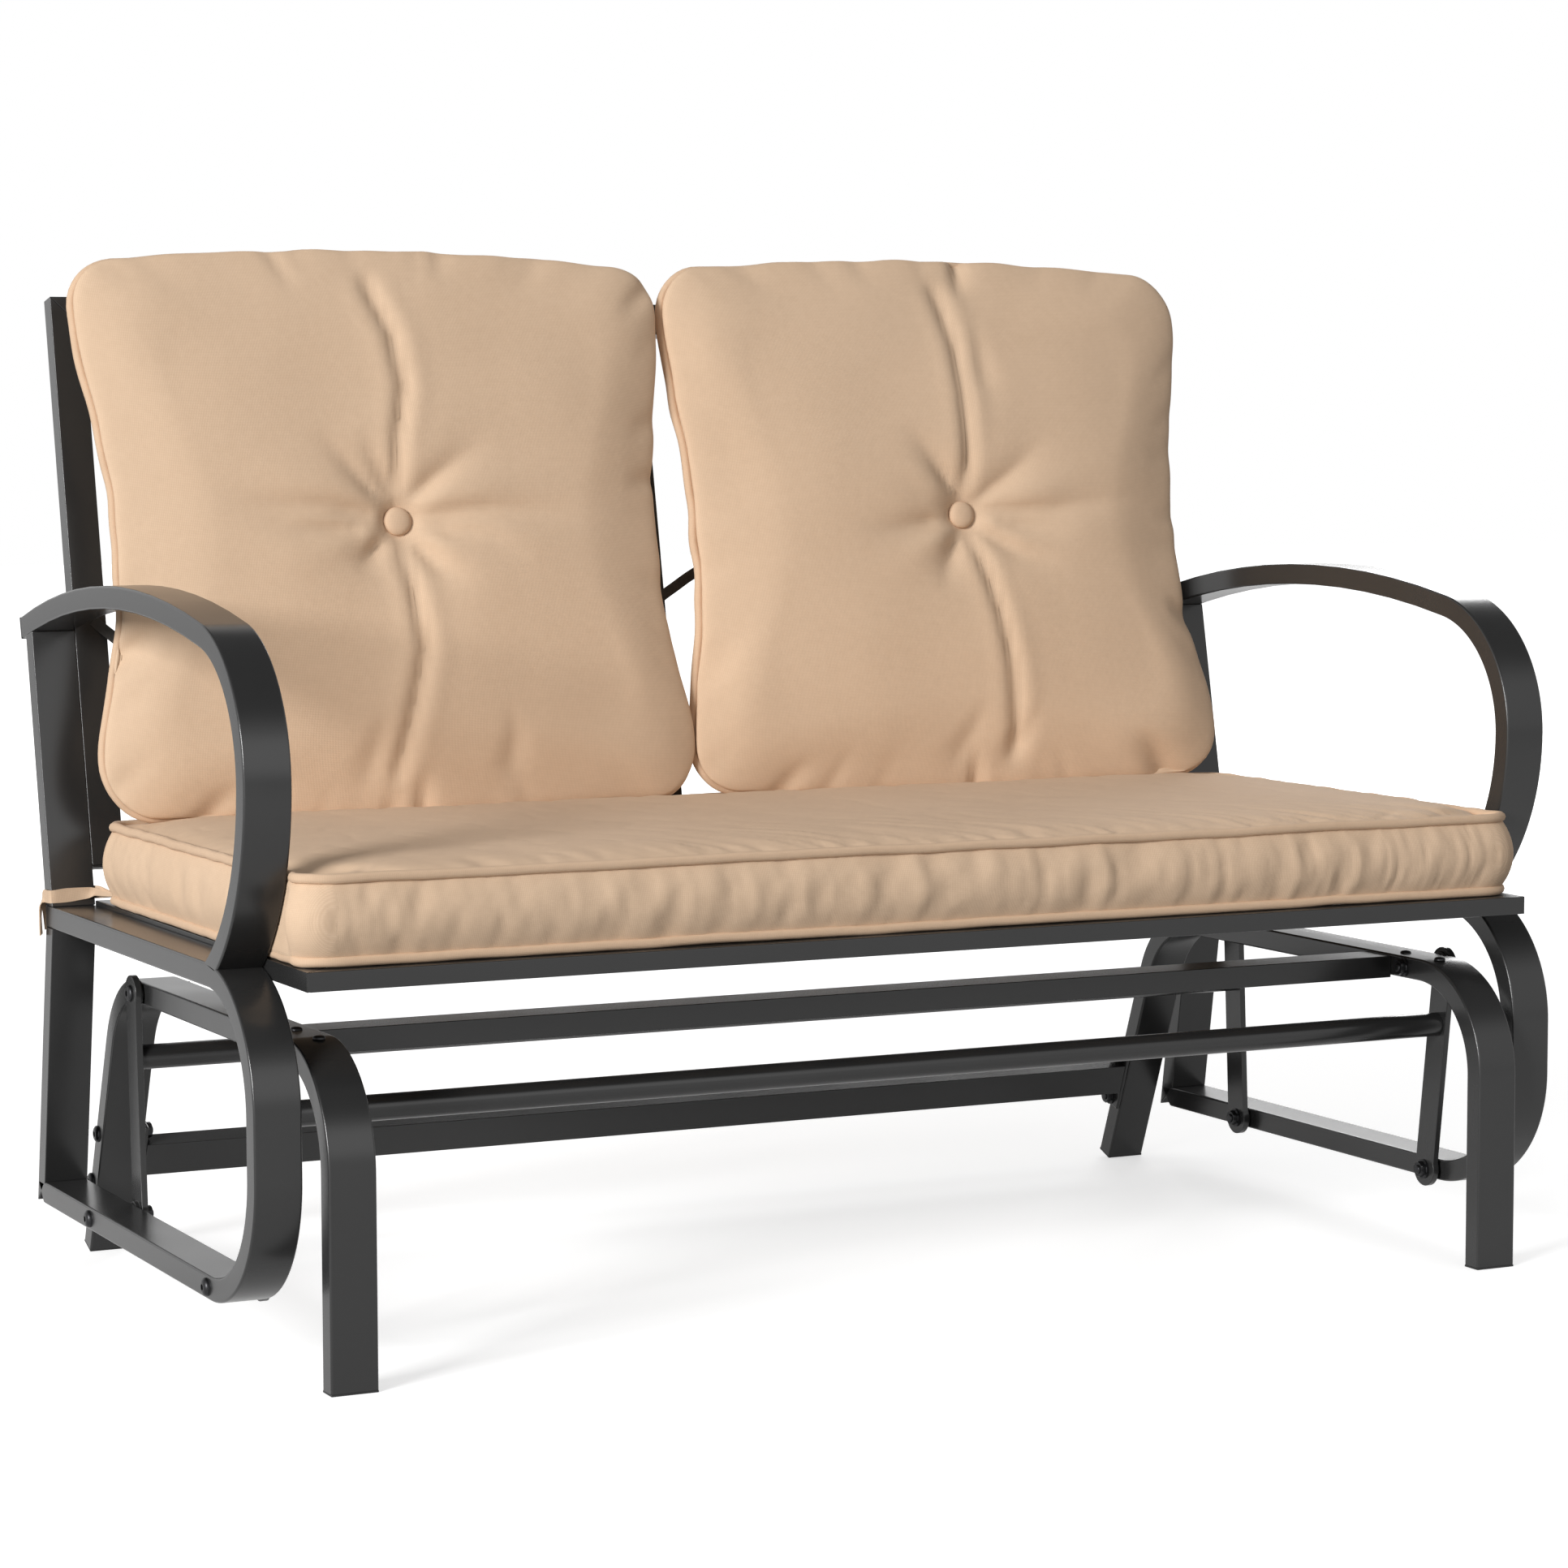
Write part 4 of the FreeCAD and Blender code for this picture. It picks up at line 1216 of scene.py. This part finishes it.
def beside_arms(x, y, limit):
    """Hold points between the armrests' inner faces where an armrest passes them."""
    front, rear = ARM_SPAN
    beside = eased((y - front) / ARM_BLEND + 1) * eased((rear - y) / ARM_BLEND + 1)
    return x + (np.sign(x) * np.minimum(np.abs(x), limit) - x) * beside, beside


def seat_box():
    """Vertices, quads, share down the band (0 on top, 1 below) and the rim's numbers."""
    across, deep = SEAT_CELLS
    u, v, reach = crowded_grid(across, deep, SEAT_CROWDING)
    safe = np.maximum(reach, TINY)
    rim_x, rim_y = seat_edge(u / safe, v / safe, SEAM_INSET)
    x, y = rim_x * reach, SEAT_MIDDLE_Y + (rim_y - SEAT_MIDDLE_Y) * reach
    from_sides = (1 - np.abs(u)) * SEAT_HALF_X
    from_ends = (1 - np.abs(v)) * SEAT_HALF_Y
    soft = (1 - np.exp(-from_sides / EDGE_RUN)) * (1 - np.exp(-from_ends / EDGE_RUN))
    top = np.stack([x, y, UPPER_SEAM + SEAT_CROWN * soft], axis=1)
    under = np.stack([x, y, np.full_like(x, SEAT_UNDER)], axis=1)
    grid = np.arange(len(top)).reshape(across + 1, deep + 1)
    rim = np.concatenate([grid[:-1, 0], grid[-1, :-1], grid[:0:-1, -1], grid[0, :0:-1]])
    under[rim, 2] = LOWER_SEAM
    layers, shares, rings = [top], [np.zeros(len(top))], [rim]
    start = len(top)
    for ring in range(1, BAND_RINGS):
        share = ring / BAND_RINGS
        inset = SEAM_INSET - BAND_BULGE * math.sin(math.pi * share) ** BAND_FULLNESS
        level = np.full(len(rim), UPPER_SEAM + (LOWER_SEAM - UPPER_SEAM) * share)
        layers.append(np.stack([*seat_edge(u[rim], v[rim], inset), level], axis=1))
        shares.append(np.full(len(rim), share))
        rings.append(np.arange(start, start + len(rim)))
        start += len(rim)
    layers.append(under)
    shares.append(np.ones(len(under)))
    rings.append(rim + start)
    panel = grid_cells(grid)
    band = np.stack(rings)
    band = grid_cells(np.hstack([band, band[:, :1]]))
    cells = np.concatenate([panel, panel[:, ::-1] + start, band])
    return np.concatenate(layers), cells, np.concatenate(shares), rim


# %% Seat cushion
SEAT_TRAVEL = 3.5
SEAT_SLACK = 0.015
REAR_HOLD = 45.0
BAND_WRINKLE = 2.4
BAND_WRINKLE_MM = 15.0
BAND_WRINKLE_LENGTH = 500.0
TOP_WRINKLE = 3.4
TOP_WRINKLE_MM = 15.0
TOP_WRINKLE_REACH = 62.0
TOP_SLANT = 0.75
TOP_WRINKLE_LENGTH = 110.0
TOP_PATCHES = 0.8
TOP_PATCH_SIZE = (75, 60)
# where the wrinkles begin at the left, grow again and end at the right, each with its run
WRINKLES_BEGIN = (-420, 260)
WRINKLES_GROW = (100, 300)
WRINKLES_END = (560, -40)
CREASE_SHARE = 0.55
CREASE_WIDTH = 0.09
ARM_SQUEEZE = 579.2
REST_HEIGHT = 412.0
REST_Y = 154.0
REST_SLOPE = 0.25
PRESSED_FROM = 60.0


def creased(a, b, seed):
    """Uneven folds from -1 to 1: soft swells with sharper valleys between them."""
    valley = unevenness(a * 1.3 + 7, b, seed + 5)
    return unevenness(a, b, seed) - CREASE_SHARE * np.exp(-((valley / CREASE_WIDTH) ** 2))


def seat_cushion_mesh():
    """The seat cushion with its wrinkles, in the bench's place."""
    spots, cells, shares, rim = seat_box()
    mesh = cover_mesh("seat_cushion_cover", spots, cells, share=shares)
    held = (shares >= 1) | ((spots[:, 1] > SEAT_REAR - REAR_HOLD) & (shares == 0))
    held[rim] = True
    spots = swell(mesh, held, SEAT_SLACK, SEAT_TRAVEL)
    write_points(mesh, spots * MM)
    fine = subdivided(mesh)
    x, y, z = (read_points(fine) / MM).T
    share = read_field(fine, "share")
    on_top = share < 1e-4
    on_band = (share > 0) & (share < 1)
    behind_seam = y - SEAT_FRONT - SEAM_INSET
    begin, grow, end = [
        eased((x - place) / run) for place, run in (WRINKLES_BEGIN, WRINKLES_GROW, WRINKLES_END)
    ]
    busy = begin * (0.75 + 0.25 * grow) * end
    slant = x + TOP_SLANT * behind_seam
    folds = creased(slant / TOP_WRINKLE_MM, behind_seam / TOP_WRINKLE_LENGTH, 2.0)
    fade = np.exp(-behind_seam / TOP_WRINKLE_REACH) * eased(behind_seam / 9)
    patches = creased(x / TOP_PATCH_SIZE[0], y / TOP_PATCH_SIZE[1], 9.0)
    top_move = TOP_WRINKLE * folds * fade * busy
    top_move += TOP_PATCHES * patches * eased(behind_seam / 30)
    z = np.where(on_top, z + top_move, z)
    # the armrests squeeze the ends of the band
    x, beside = beside_arms(x, y, ARM_SQUEEZE)
    # the back cushions press their lower seams a little into the crown
    ceiling = REST_HEIGHT + REST_SLOPE * np.maximum(REST_Y - y, 0)
    z = np.where(on_top & (y > PRESSED_FROM), np.minimum(z, ceiling), z)
    out_x = np.where(np.abs(x) > SEAT_HALF_X - SEAT_CORNER, np.sign(x), 0)
    at_front = y < SEAT_FRONT + SEAT_CORNER
    out_y = np.where(at_front, -1, np.where(y > SEAT_REAR - SEAT_CORNER, 1, 0))
    upright = creased((x + y) / BAND_WRINKLE_MM, z / BAND_WRINKLE_LENGTH, 4.0)
    front_busy = np.where(at_front, 0.25 + 0.75 * busy, 0.3)
    hump = np.sin(math.pi * np.clip(share, 0, 1)) ** 0.5
    move = BAND_WRINKLE * upright * front_busy * hump * on_band
    move = np.where(beside > 0, np.minimum(move, 0), move) / np.maximum(np.hypot(out_x, out_y), 1)
    write_points(fine, np.stack([x + out_x * move, y + out_y * move, z], axis=1) * MM)
    lay_cloth(fine, np.where(on_band & (out_x != 0), y, x), np.where(on_band, z, y))
    return fine


add_cushion("seat_cushion_cover", seat_cushion_mesh(), "seat_cushion")

# %% [markdown]
# ## Piping
# Piping is a cord in a bias strip of the cover's own cloth, sewn into the seam. It follows
# the seam line all the way round, so a Geometry Nodes tree sweeps a round section along a
# closed path and lays a UV map on it, in metres, that the weave can follow. Its path
# wanders by a millimetre or so, as the cloth beside it gathers.

# %% Geometry Nodes: piping
PIPING_SIDES = 10
WANDER_MM = 40.0
PIPING_STEP = 9.0

piping_tree, add, given = new_tree("sweep_piping", ["Radius"])


def with_length(add, name, curve):
    """Keep a curve's length so far on its points, to use as a coordinate of the cloth."""
    length = add("GeometryNodeSplineParameter").outputs["Length"]
    kept = add("GeometryNodeCaptureAttribute", {"Geometry": curve}, domain="POINT")
    kept.capture_items.new("FLOAT", name)
    kept.id_data.links.new(length, kept.inputs[name])
    return kept


path = with_length(add, "along", given[0])
ring = add(
    "GeometryNodeCurvePrimitiveCircle", {"Radius": given["Radius"], "Resolution": PIPING_SIDES}
)
section = with_length(add, "round", ring)
upright = add("GeometryNodeSetCurveNormal", {"Curve": path}, mode="MINIMUM_TWIST")
swept = add("GeometryNodeCurveToMesh", {"Curve": upright, "Profile Curve": section})
flat_place = add(
    "ShaderNodeCombineXYZ", {"X": path.outputs["along"], "Y": section.outputs["round"]}
)
mapped = add(
    "GeometryNodeStoreNamedAttribute",
    {"Geometry": swept, "Name": "cloth", "Value": flat_place},
    data_type="FLOAT2",
    domain="CORNER",
)
end_tree(add, given, add("GeometryNodeSetShadeSmooth", {"Geometry": mapped}))


def square_rim(count):
    """Points round a square's rim, from -1 to 1 each way."""
    share = np.arange(count) / count * 8
    return [np.clip(np.abs((share + turn) % 8 - 4) - 2, -1, 1) for turn in (6, 4)]


def unsteady(count, size, seed):
    """A small closed wander along a path, in millimetres."""
    turn = np.arange(count) * 2 * math.pi / count
    reach = count * PIPING_STEP / (2 * math.pi * WANDER_MM)
    return size * unevenness(np.cos(turn) * reach, np.sin(turn) * reach, seed)


def add_piping(name, points, radius):
    """Piping along a closed path through points in metres."""
    path = straight_runs(points, closed=True)
    mesh = run_tree(piping_tree, path, name, tan_piping, Radius=radius * MM)
    new_piece(name, mesh, "seat", "cushion_cloth")
    print(name, len(mesh.polygons), "faces")


# %% Back cushion piping
BACK_RIM_POINTS = 260
BACK_PIPING = 4.6
BACK_PIPING_LEVEL = 69.0
BACK_PIPING_WANDER = 2.4
BACK_PIPING_OUT = 2.0

for side, sizes in BACK_CUSHIONS.items():
    across, up = cushion_edge(*square_rim(BACK_RIM_POINTS), sizes)
    outward = 1 + BACK_PIPING_OUT / np.hypot(across, up)
    wave = unsteady(BACK_RIM_POINTS, BACK_PIPING_WANDER, sizes["seed"])
    points = np.stack([across * outward, BACK_PIPING_LEVEL + wave, up * outward], axis=1)
    place = np.array(from_back(sizes["middle"]))
    add_piping(f"back_piping_{side}", points @ place[:3, :3].T + place[:3, 3], BACK_PIPING)

# %% Seat cushion piping
SEAT_RIM_POINTS = 420
SEAT_PIPING = 4.3
SEAT_PIPING_INSET = 3.4
SEAT_PIPING_WANDER = 1.0
SIDEWAYS_SHARE = 0.3
SEAT_PIPING_LEVELS = {"upper": UPPER_SEAM + 0.6, "lower": LOWER_SEAM}

for name, level in SEAT_PIPING_LEVELS.items():
    x, y = seat_edge(*square_rim(SEAT_RIM_POINTS), SEAT_PIPING_INSET)
    x, _ = beside_arms(x, y, ARM_SQUEEZE - SEAT_PIPING)
    wave = unsteady(SEAT_RIM_POINTS, SEAT_PIPING_WANDER, level)
    points = np.stack([x, y + wave * SIDEWAYS_SHARE, level + wave], axis=1) * MM
    add_piping(f"seat_piping_{name}", points, SEAT_PIPING)

# %% [markdown]
# ## Turned and repeated pieces
# Covered buttons, bolts and nuts are all round or six-sided about one axis, and each kind
# repeats. One function turns a profile into a mesh, where a ring may be a circle or a
# hexagon. A Geometry Nodes tree then copies that mesh to every place, turned to face the
# way that the place's own "facing" attribute says.

# %% Turned shapes
TURN_STEPS = 36
TURNED_EDGE = math.radians(40)


def turned_mesh(name, profile):
    """Turn rings of height, radius and perhaps a number of sides, in millimetres, about Z."""
    angle = np.arange(TURN_STEPS) * 2 * math.pi / TURN_STEPS
    mesh = bpy.data.meshes.new(name)
    with edited(mesh) as work:
        rings = []
        for height, radius, *sides in profile:
            if radius == 0:
                rings.append([work.verts.new((0, 0, height * MM))] * TURN_STEPS)
                continue
            reach = np.full(TURN_STEPS, radius)
            if sides:
                sector = 2 * math.pi / sides[0]
                reach = radius * math.cos(sector / 2) / np.cos(angle % sector - sector / 2)
            level = np.full(TURN_STEPS, height)
            spots = np.stack([reach * np.cos(angle), reach * np.sin(angle), level])
            rings.append([work.verts.new(spot) for spot in (spots.T * MM).tolist()])
        for low, high in zip(rings, rings[1:]):
            for step in range(TURN_STEPS):
                after = (step + 1) % TURN_STEPS
                # at a point of the axis two corners are one
                corners = dict.fromkeys([low[step], low[after], high[after], high[step]])
                work.faces.new(list(corners))
        bmesh.ops.recalc_face_normals(work, faces=work.faces[:])
    return mesh


repeat_tree, add, given = new_tree("repeat_a_piece", [], "Points")
repeat_tree.interface.new_socket("Piece", in_out="INPUT", socket_type="NodeSocketObject")
copied = add("GeometryNodeObjectInfo", {"Object": given["Piece"]})
facing = add("GeometryNodeInputNamedAttribute", {"Name": "facing"}, data_type="FLOAT_VECTOR")
turned = add("FunctionNodeAlignRotationToVector", {"Vector": facing}, axis="Z")
placed = add(
    "GeometryNodeInstanceOnPoints",
    {"Points": given[0], "Instance": copied.outputs["Geometry"], "Rotation": turned},
)
end_tree(add, given, placed)


def repeated(name, profile, places, body, slot, material, *nodes):
    """A turned piece at every place (point, direction), both in millimetres of the bench."""
    model = new_object(name + "_model", turned_mesh(name + "_model", profile))
    points = bpy.data.meshes.new(name + "_points")
    points.from_pydata([tuple(c * MM for c in place) for place, _ in places], [], [])
    facing = points.attributes.new("facing", "FLOAT_VECTOR", "POINT")
    facing.data.foreach_set("vector", [c for _, direction in places for c in direction])
    mesh = run_tree(repeat_tree, points, name, material, Piece=model)
    bpy.data.objects.remove(model)
    smooth_shade(mesh, TURNED_EDGE)
    print(name, len(places), "places,", len(mesh.polygons), "faces")
    return new_piece(name, mesh, body, slot, *nodes)


# %% [markdown]
# ## Covered buttons
# Each back cushion is drawn in by a metal-shell button covered in the cushion's cloth. The
# twine through the cushion holds it down in the tuft.

# %% Covered buttons
BUTTON_LEVEL = 91.5
BUTTON_PROFILE = [
    (-7, 0), (-7, 10.5), (-1, 12.6), (1.2, 13.5), (3.4, 13.0), (5.2, 11.2), (6.4, 8.2),
    (7.1, 4.4), (7.3, 0),
]
button_places = []
for sizes in BACK_CUSHIONS.values():
    place = from_back(sizes["middle"])
    across, up = sizes["button"]
    spot = place @ Vector((across, BUTTON_LEVEL, up)) / MM
    button_places.append((spot, (place.to_3x3() @ Vector((0, 1, 0))).normalized()))
buttons = repeated(
    "covered_buttons",
    BUTTON_PROFILE,
    button_places,
    "seat",
    "covered_buttons",
    tan_button,
    "back_cushion_buttons",
)
spots = read_points(buttons.data) / MM
lay_cloth(buttons.data, spots[:, 0], spots[:, 2])

# %% [markdown]
# ## Bolts and nuts
# The links turn on button-head bolts with a hexagon socket. At the top each bolt goes
# through the link and the base rail, and at the bottom through the seat side and the link,
# to a nut on the inner face. Four shorter bolts hold the rear rail's end plates, and small
# domed screws close the top of the base rails. All are turned and copied like the buttons.

# %% Bolts, nuts and screws
# places are (y, z) on each side, and distances are from the middle of the bench
TOP_PIVOTS = [(131.9, 262.0), (-230.5, 262.0)]
BOTTOM_PIVOTS = [(120.8, 66.0), (-205.2, 66.0)]
RAIL_BOLTS = [(267.6, 115.0), (288.6, 68.0)]
SCREWS = [(-265.4, BASE_HEIGHT), (-211.4, BASE_HEIGHT)]
TOP_HEAD_X = 576.2
TOP_NUT_X = 527.0
BOTTOM_HEAD_X = 620.0
BOTTOM_NUT_X = 569.8
BASE_OUTER_X = 567.0
RAIL_NUT_X = 523.0
SCREW_X = 543.0
SHANK = 4.0
HEAD = 7.6
SOCKET = 2.9
LOW_HEAD = 3.4
HIGH_HEAD = 4.0
RAIL_BOLT_GRIP = 2.0
NUT_PROFILE = [
    (0, 0), (0, 9), (1.2, 9), (1.2, 7.1), (1.6, 7.5, 6), (5.7, 7.5, 6), (6.4, 6.6), (6.4, 4.5),
    (6.1, 4), (7.2, 3.9), (7.9, 3.2), (8.1, 0),
]
SCREW_PROFILE = [(-0.5, 0), (-0.5, 5.2), (0.4, 5.2), (1.3, 4.7), (2, 3.5), (2.4, 1.8), (2.5, 0)]


def bolt_profile(grip, head):
    """Shank, button head and socket, upwards from the far end of the shank."""
    return [
        (-grip, 0), (-grip, SHANK - 0.4), (0.4 - grip, SHANK), (0, SHANK), (0, HEAD),
        (0.3 * head, HEAD), (0.62 * head, 0.9 * HEAD), (0.88 * head, 0.72 * HEAD),
        (head, 0.52 * HEAD), (head, SOCKET, 6), (0.35 * head, SOCKET, 6), (0.25 * head, 0),
    ]


def on_both_sides(spots, distance, direction):
    """Places on the left and right, with a direction that is mirrored too."""
    x, y, z = direction
    return [
        (Vector((sign * distance, *spot)), (sign * x, y, z))
        for sign in SIDES.values()
        for spot in spots
    ]


OUT, IN, UP = (1, 0, 0), (-1, 0, 0), (0, 0, 1)
top_bolt = bolt_profile(TOP_HEAD_X - TOP_NUT_X, LOW_HEAD)
bottom_bolt = bolt_profile(BOTTOM_HEAD_X - BOTTOM_NUT_X, HIGH_HEAD)
rail_bolt = bolt_profile(RAIL_BOLT_GRIP, LOW_HEAD)
for name, profile, spots, distance, direction, body, *nodes in (
    ("top_bolts", top_bolt, TOP_PIVOTS, TOP_HEAD_X, OUT, "base", "top_pivot_bolts"),
    ("top_nuts", NUT_PROFILE, TOP_PIVOTS, TOP_NUT_X, IN, "base", "top_pivot_nuts"),
    ("bottom_bolts", bottom_bolt, BOTTOM_PIVOTS, BOTTOM_HEAD_X, OUT, "seat", "bottom_pivot_bolts"),
    ("bottom_nuts", NUT_PROFILE, BOTTOM_PIVOTS, BOTTOM_NUT_X, IN, "seat", "bottom_pivot_nuts"),
    ("rail_bolts", rail_bolt, RAIL_BOLTS, BASE_OUTER_X, OUT, "base"),
    ("rail_nuts", NUT_PROFILE, RAIL_BOLTS, RAIL_NUT_X, IN, "base"),
    ("rail_top_screws", SCREW_PROFILE, SCREWS, SCREW_X, UP, "base"),
):
    places = on_both_sides(spots, distance, direction)
    repeated(name, profile, places, body, "black_hardware", black_zinc, *nodes)

# %% [markdown]
# ## Cushion ties and fixing straps
# Two woven tapes are sewn into the lower seam at each rear corner of the seat cushion. One
# pair is tied round the frame's upright, just above the seat rail, and its ends hang down
# behind. Dark webbing straps hold the back cushions to the posts; their dark colour is
# partly painted shade. A tape is a flat woven strip, so each is modelled directly as a thin
# ribbon that follows a path and twists with it. Its two faces are closed by narrow edges.

# %% Ribbon along a path
TAPE_THICKNESS = 0.9
RIBBON_STEP = 2.5
RIBBON_COLUMNS = 5
RIBBON_EDGE = math.radians(50)
# signs that turn a station of the left side into one of the right side
MIRROR = (-1, 1, 1, 1, -1, 1, 1)


def smooth_path(knots):
    """Even steps through knots with any number of columns, by cubic pieces."""
    ends = np.vstack([2 * knots[0] - knots[1], knots, 2 * knots[-1] - knots[-2]])
    pieces = []
    for a, b, c, d in zip(ends, ends[1:], ends[2:], ends[3:]):
        count = max(2, int(np.linalg.norm((c - b)[:3]) / RIBBON_STEP))
        t = (np.arange(count) / count)[:, None]
        squared = (2 * a - 5 * b + 4 * c - d) * t ** 2
        cubed = (3 * b - a - 3 * c + d) * t ** 3
        pieces.append(0.5 * (2 * b + (c - a) * t + squared + cubed))
    return np.vstack(pieces + [knots[-1:]])


def ribbon(name, stations):
    """A ribbon through (x, y, z, width, facing x, y, z) stations in millimetres."""
    rows = smooth_path(stations)
    spots, width, facing = rows[:, :3], rows[:, 3], rows[:, 4:]
    run = np.gradient(spots, axis=0)
    run /= np.linalg.norm(run, axis=1)[:, None]
    facing = facing - (facing * run).sum(axis=1)[:, None] * run
    facing /= np.linalg.norm(facing, axis=1)[:, None]
    side = np.cross(run, facing)
    shares = np.linspace(-0.5, 0.5, RIBBON_COLUMNS)
    shares = np.concatenate([shares, shares[::-1]])
    lifts = np.repeat([0.5, -0.5], RIBBON_COLUMNS) * TAPE_THICKNESS
    rings = [
        spots + side * (share * width)[:, None] + facing * lift
        for share, lift in zip(shares, lifts)
    ]
    spots_of_rings = np.stack(rings, axis=1).reshape(-1, 3)
    index = np.arange(len(spots_of_rings)).reshape(len(rows), -1)
    across = np.roll(index, -1, axis=1)
    cells = np.stack([index[:-1], across[:-1], across[1:], index[1:]], axis=-1).reshape(-1, 4)
    mesh = bpy.data.meshes.new(name)
    caps = [index[0, ::-1].tolist(), index[-1].tolist()]
    mesh.from_pydata((spots_of_rings * MM).tolist(), [], cells.tolist() + caps)
    with edited(mesh) as work:
        bmesh.ops.recalc_face_normals(work, faces=work.faces[:])
    steps = np.linalg.norm(np.diff(spots, axis=0), axis=1)
    along = np.concatenate([[0], np.cumsum(steps)])
    lay_cloth(mesh, np.repeat(along, len(shares)), np.outer(width, shares).ravel())
    smooth_shade(mesh, RIBBON_EDGE)
    area = float((steps * (width[1:] + width[:-1]) / 2).sum()) * MM * MM
    return mesh, float(along[-1]) * MM, area


def hang_strip(name, side, stations, width, material, rests_on, *nodes):
    """A strip of tape on the seat, on the left as its stations say or mirrored."""
    knots = np.array(stations, float) * (MIRROR if side == "right" else 1)
    mesh, length, area = ribbon(name, knots)
    mesh.materials.append(material)
    piece = new_piece(name, mesh, "seat", "tie_tape", *nodes)
    print(name, "flat", round(length, 3), "m by", width, "mm,", round(area * 1e4, 1), "cm2")


# %% Seat cushion ties
TIE_WIDTH = 11.5
TIE_Z = 341.0
CLEAR = 0.9
front = back_plane(TIE_Z) - 0.2
rear = front + 20.9
outer_x, inner_x = -620 - CLEAR, -580 + CLEAR
TIES = {
    "outer": [
        (-566, 186, 343, 4.5, -0.5, 0, 1),
        (-573, 199, 343.6, 6.5, -0.6, -0.4, 0.8),
        (-581, front - 4, 343.6, 9, 0, -0.8, 0.6),
        (-590, front - CLEAR - 0.4, 343, 10.5, 0, -1, 0.1),
        (-606, front - CLEAR, 342, 12.5, 0, -1, 0),
        (-618, front - CLEAR, 341.2, TIE_WIDTH, 0, -1, 0),
        (outer_x, front + 1.2, 341, TIE_WIDTH, -1, -0.1, 0),
        (outer_x, front + 10, 340.4, TIE_WIDTH, -1, 0, 0),
        (outer_x - 0.3, rear - 1, 339.6, TIE_WIDTH, -1, 0.1, 0),
        (outer_x - 1.6, rear + 3.2, 333, TIE_WIDTH, -0.9, 0.5, 0),
        (outer_x - 1.8, rear + 6, 320, TIE_WIDTH, -0.9, 0.4, 0),
        (outer_x - 1.2, rear + 7, 304, TIE_WIDTH, -0.9, 0.45, 0),
    ],
    "inner": [
        (-564, 188, 342.6, 4.5, 0.7, 0, 0.7),
        (-571, 203, 343.4, 8, 0.8, 0, 0.5),
        (inner_x + 3, front - 2, 343.4, 11, 1, -0.1, 0),
        (inner_x, front + 6, 343, TIE_WIDTH, 1, 0, 0),
        (inner_x, rear - 1.2, 342.6, TIE_WIDTH, 1, 0.1, 0),
        (-581.4, rear + CLEAR, 342.4, TIE_WIDTH, 0.1, 1, 0),
        (-600, rear + CLEAR, 341.4, TIE_WIDTH, 0, 1, 0),
        (-612, rear + CLEAR + 0.9, 340, TIE_WIDTH, 0, 1, 0),
        (-616, rear + CLEAR + 3.4, 334, TIE_WIDTH, 0.1, 1, 0.1),
        (-614.5, rear + CLEAR + 4.6, 322, TIE_WIDTH, 0.15, 1, 0),
        (-613, rear + CLEAR + 5.4, 309, TIE_WIDTH, 0.15, 1, 0),
    ],
}
for side in SIDES:
    for kind, stations in TIES.items():
        nodes = ["seat_cushion_ties"] if (side, kind) == ("left", "outer") else []
        name = f"seat_tie_{side}_{kind}"
        post = "seat_upper_upright_" + side
        hang_strip(name, side, stations, TIE_WIDTH, tan_tape, [post], *nodes)

# %% Back cushion straps, as (x, distance from the back plane, z, facing x and y)
STRAP_WIDTH = 10.0
STRAPS = {
    "outer": [
        (-562, -0.9, 586, 0, -1),
        (-556, -1.6, 580, -0.2, -1),
        (-550, -6, 574, -0.5, -0.9),
        (-543, -13, 567, -0.5, -0.9),
        (-533, -18, 560, -0.5, -0.9),
    ],
    "inner": [
        (-3, 0.6, 594, 0, -1),
        (-10, -0.6, 599, 0, -1),
        (-20, -4, 606, 0.1, -1),
        (-32, -8, 614.5, 0.1, -1),
        (-44, -12, 622, 0.1, -1),
    ],
}
for side in SIDES:
    for kind, points in STRAPS.items():
        stations = [
            (x, back_plane(z) + off, z, STRAP_WIDTH, face_x, face_y, 0.1)
            for x, off, z, face_x, face_y in points
        ]
        name = f"back_strap_{side}_{kind}"
        post = f"back_post_{side}" if kind == "outer" else "back_centre_post"
        rests_on = [post, f"back_pillow_{side}"]
        # the straps' dark webbing colour is partly painted shade
        hang_strip(name, side, stations, STRAP_WIDTH, webbing_and_painted_shade, rests_on)
